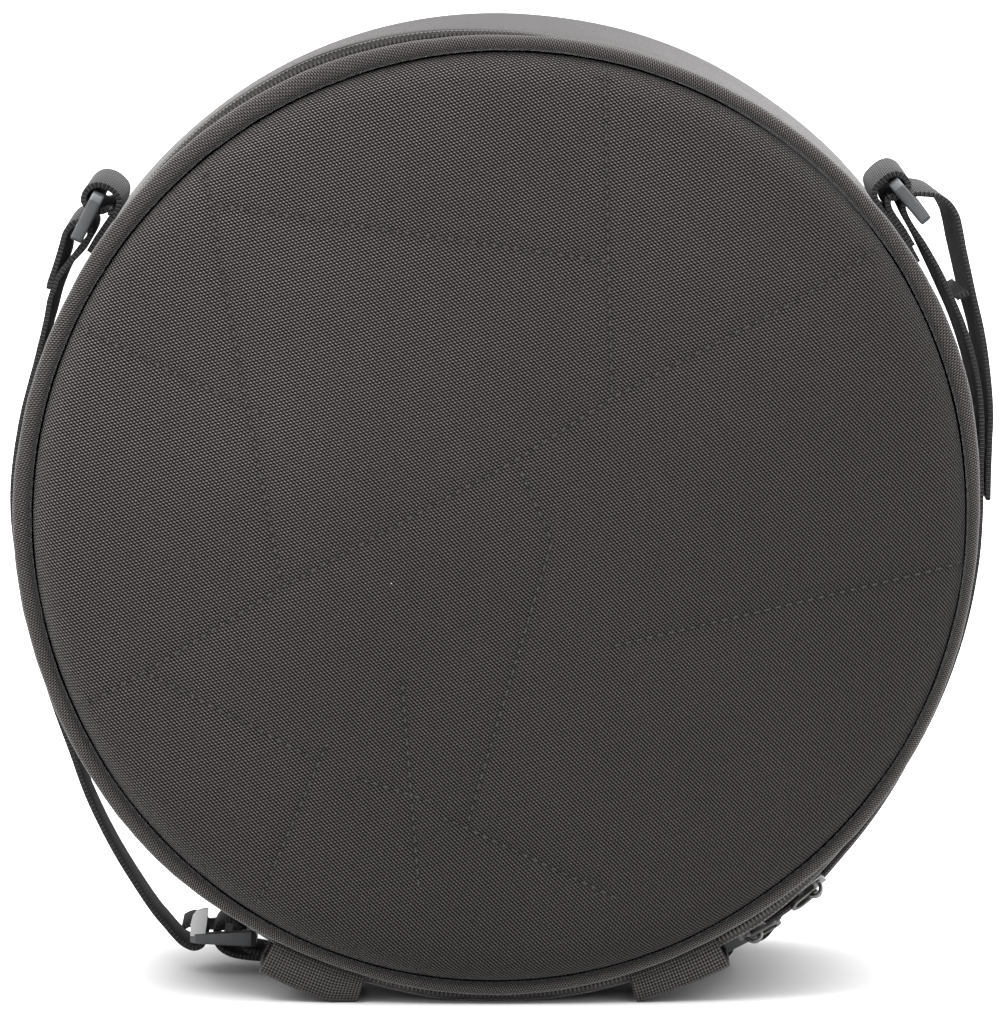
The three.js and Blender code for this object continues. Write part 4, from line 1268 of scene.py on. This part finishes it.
# %% Lay the webbing
UPPER_LEFT_ANCHOR = [
    (148.5, 1.4), (144.5, 1.4), (142.4, 1.6), (141.25, 3.6), (140.95, 6.8), (141.1, 10.6), (141.75, 13.6),
    (142.9, 14.6), (143.9, 13.2), (144.15, 9.8), (143.75, 6), (142.9, 3.9), (143.4, 2.4),
]
LEFT_STRAP_LOOP = [
    (154.9, 5.3, 0.8), (153, 5.8, 0.8), (151.4, 5.5, 0.6), (149.8, 4.6, 0.2), (147.9, 3.8), (146.45, 5),
    (145.95, 7.8), (146.35, 11.2), (147.8, 12.3), (149.4, 10.6, 0.5), (151, 8.9, 1), (152.6, 8, 1),
    (153.9, 7.6, 0.8), (154.6, 7, 0.8),
]
LEFT_STRAP_RUN = [
    (153.4, 5.7, 0.8), (155.6, 5, 0.8), (158, 3.5, 0.6), (163, 1.9, 0.4), (171, 1.8, 0.4), (180, 2.3, 0.4),
    (189, 1.8, 0.3), (198, 2.6), (205, 4.4), (211, 6.9), (216.2, 10.8), (222, 15.1), (226.5, 18.6),
    (230.6, 22.1),
]
LEFT_STRAP_TURN = [
    (-121.9, -157.3), (-118.6, -161.2), (-115.2, -164.4), (-111.4, -165.9), (-108.5, -164.6),
    (-107.3, -161.2), (-108.8, -157.6), (-112.4, -156.9), (-115.6, -158.3),
]
LOWER_LEFT_ROOT = [(257.4, 1.5), (254.6, 1.6), (251.8, 2.4)]
LOWER_LEFT_TURN = [
    (-69, -170.5), (-84, -170), (-98, -168.2), (-102.6, -165), (-103.7, -160.6), (-101.6, -156.6),
    (-98, -156), (-95, -158.4), (-94.4, -162), (-92.4, -166.2), (-86, -168), (-76, -169.4),
]
UPPER_RIGHT_ANCHOR = [
    (30, 1.4), (35, 1.4), (38.7, 1.6), (40, 3.6), (40.3, 7), (40.25, 11), (39.8, 13.8), (38.85, 14.9),
    (38, 14.1), (37.7, 11), (37.8, 8), (38.15, 5.6), (37.4, 3.9), (35, 3), (32, 2.8),
]
RIGHT_STRAP_RUN = [
    (-0.5, 4.1), (2, 4.4), (5.5, 5.2, 0.3), (10, 7, 0.8), (14.8, 8.6, 1.2), (19.4, 10.5, 1.4),
    (23.6, 12.3, 1.6), (26.4, 14.4, 1.6), (28.9, 16.7, 1.6), (31, 19.2, 1.6), (32.4, 20.6, 1.6),
    (34, 20.7, 1.4), (35.3, 19.2, 0.8), (36.2, 16.6, 0.2), (36.8, 14), (36.95, 11.7), (36.85, 9.6),
    (36.3, 7.8), (34.8, 6.5), (31.4, 5.9, 0.6), (28, 5.4, 1.1), (24, 5, 1.3), (20.5, 5, 1.3),
    (15.5, 4.6, 1.2), (11, 3.8, 0.9), (7, 2.7, 0.5), (3, 1.8), (-1, 1.5), (-8, 1.5), (-16, 1.5), (-24, 1.5),
    (-32, 1.5), (-40, 1.5), (-47, 1.6), (-53, 2),
]
RIGHT_STRAP_LOOP = [
    (-51.6, 1.9), (-54, 1.7), (-57, 1.6), (-59.6, 1.8), (-60.9, 3.6), (-61.2, 6.4), (-60.6, 9.4),
    (-59.2, 10.4), (-57.2, 8), (-55, 4.6), (-53, 2.6), (-51.4, 2.1),
]
LOWER_RIGHT_ANCHOR = [
    (-76, 1.4), (-70, 1.4), (-66, 1.6), (-63.9, 2.1), (-62.9, 3.8), (-62.7, 6.4), (-63.3, 9.4), (-64.8, 10.4),
    (-66.6, 8.2), (-68.4, 4.8), (-70.4, 2.9), (-73, 2.6),
]
TAIL_KEEPER = [(24.2, 6.4, 1.3), (24.2, 11, 1.5)]

lower_left_route = np.vstack([on_drum(LOWER_LEFT_ROOT), with_lean(LOWER_LEFT_TURN)])
left_route = np.vstack([on_drum(LEFT_STRAP_RUN), with_lean(LEFT_STRAP_TURN)])
WEBBING_LAYOUT = {
    "anchor_upper_left": [(on_drum(UPPER_LEFT_ANCHOR), [(1, 20)])],
    "anchor_upper_right": [(on_drum(UPPER_RIGHT_ANCHOR), [(1, 24)])],
    "anchor_lower_left": [(lower_left_route, [(1, 26)])],
    "anchor_lower_right": [(on_drum(LOWER_RIGHT_ANCHOR), [(1, 28)])],
    "strap_left": [(left_route, []), (on_drum(LEFT_STRAP_LOOP), [(1, 16)])],
    "strap_right": [(on_drum(RIGHT_STRAP_RUN), [(1, 9)]), (on_drum(RIGHT_STRAP_LOOP), [(1, 18)])],
    "tail_keeper": [(on_drum(TAIL_KEEPER), [])],
}
for node, lengths_of_node in WEBBING_LAYOUT.items():
    lengths_made = [
        webbing_length(f"webbing_{node}", points, stitched) for points, stitched in lengths_of_node
    ]
    strap = join_lengths(lengths_made)
    hand_over(strap, "bag", "webbing", webbing_finish, node)

# %% [markdown]
# ## Buckles and rings
# The fittings' solids already have the right outline. A copy of each has its loose triangles merged, its flat
# faces cleaned up and its edges rounded, which is what a moulded part has and a cut solid lacks. The buckle's
# ear, above a given height, gets a second, pale finish: a painted highlight where its upper surfaces catch
# the light.

# %% Round off the fittings
MOULD_ROUND = 0.7 * MM
SLIDER_ROUND = 0.4 * MM
PULL_ROUND = 0.6 * MM
EAR_FOOT = AXIS_HEIGHT - 158.2 * MM


def rounded_copy(node, name, width):
    piece = bpy.data.objects.new(name, nodes[node].data.copy())
    bpy.context.scene.collection.objects.link(piece)
    with editing(piece):
        bpy.ops.mesh.remove_doubles(threshold=0.002 * MM)
        bpy.ops.mesh.dissolve_limited(angle_limit=math.radians(2))
    soften_edges(piece, width, segments=3, degrees=28)
    return piece


for node in ("ring_upper_left", "adjuster_upper_right", "ring_lower_right"):
    fitting = rounded_copy(node, f"moulded_{node}", MOULD_ROUND)
    hand_over(fitting, "bag", "grey_plastic", grey_plastic, node)

lock = rounded_copy("ladder_lock_lower_left", "moulded_ladder_lock", MOULD_ROUND)
hand_over(lock, "bag", "grey_plastic", grey_plastic, "ladder_lock_lower_left")
# The ear's faces above its foot get the pale finish, a painted highlight.
lock.data.materials.append(painted_highlight_plastic)
for polygon in lock.data.polygons:
    polygon.material_index = int(polygon.center.z > EAR_FOOT)

for place in ("lower", "upper"):
    slider = rounded_copy(f"zip_slider_{place}", f"plated_slider_{place}", SLIDER_ROUND)
    hand_over(slider, "bag", "dark_metal", plated_metal, f"zip_slider_{place}")
    pull = rounded_copy(f"zip_pull_{place}", f"plated_pull_{place}", PULL_ROUND)
    hand_over(pull, f"{place}_pull", "dark_metal", plated_metal, f"zip_pull_{place}")
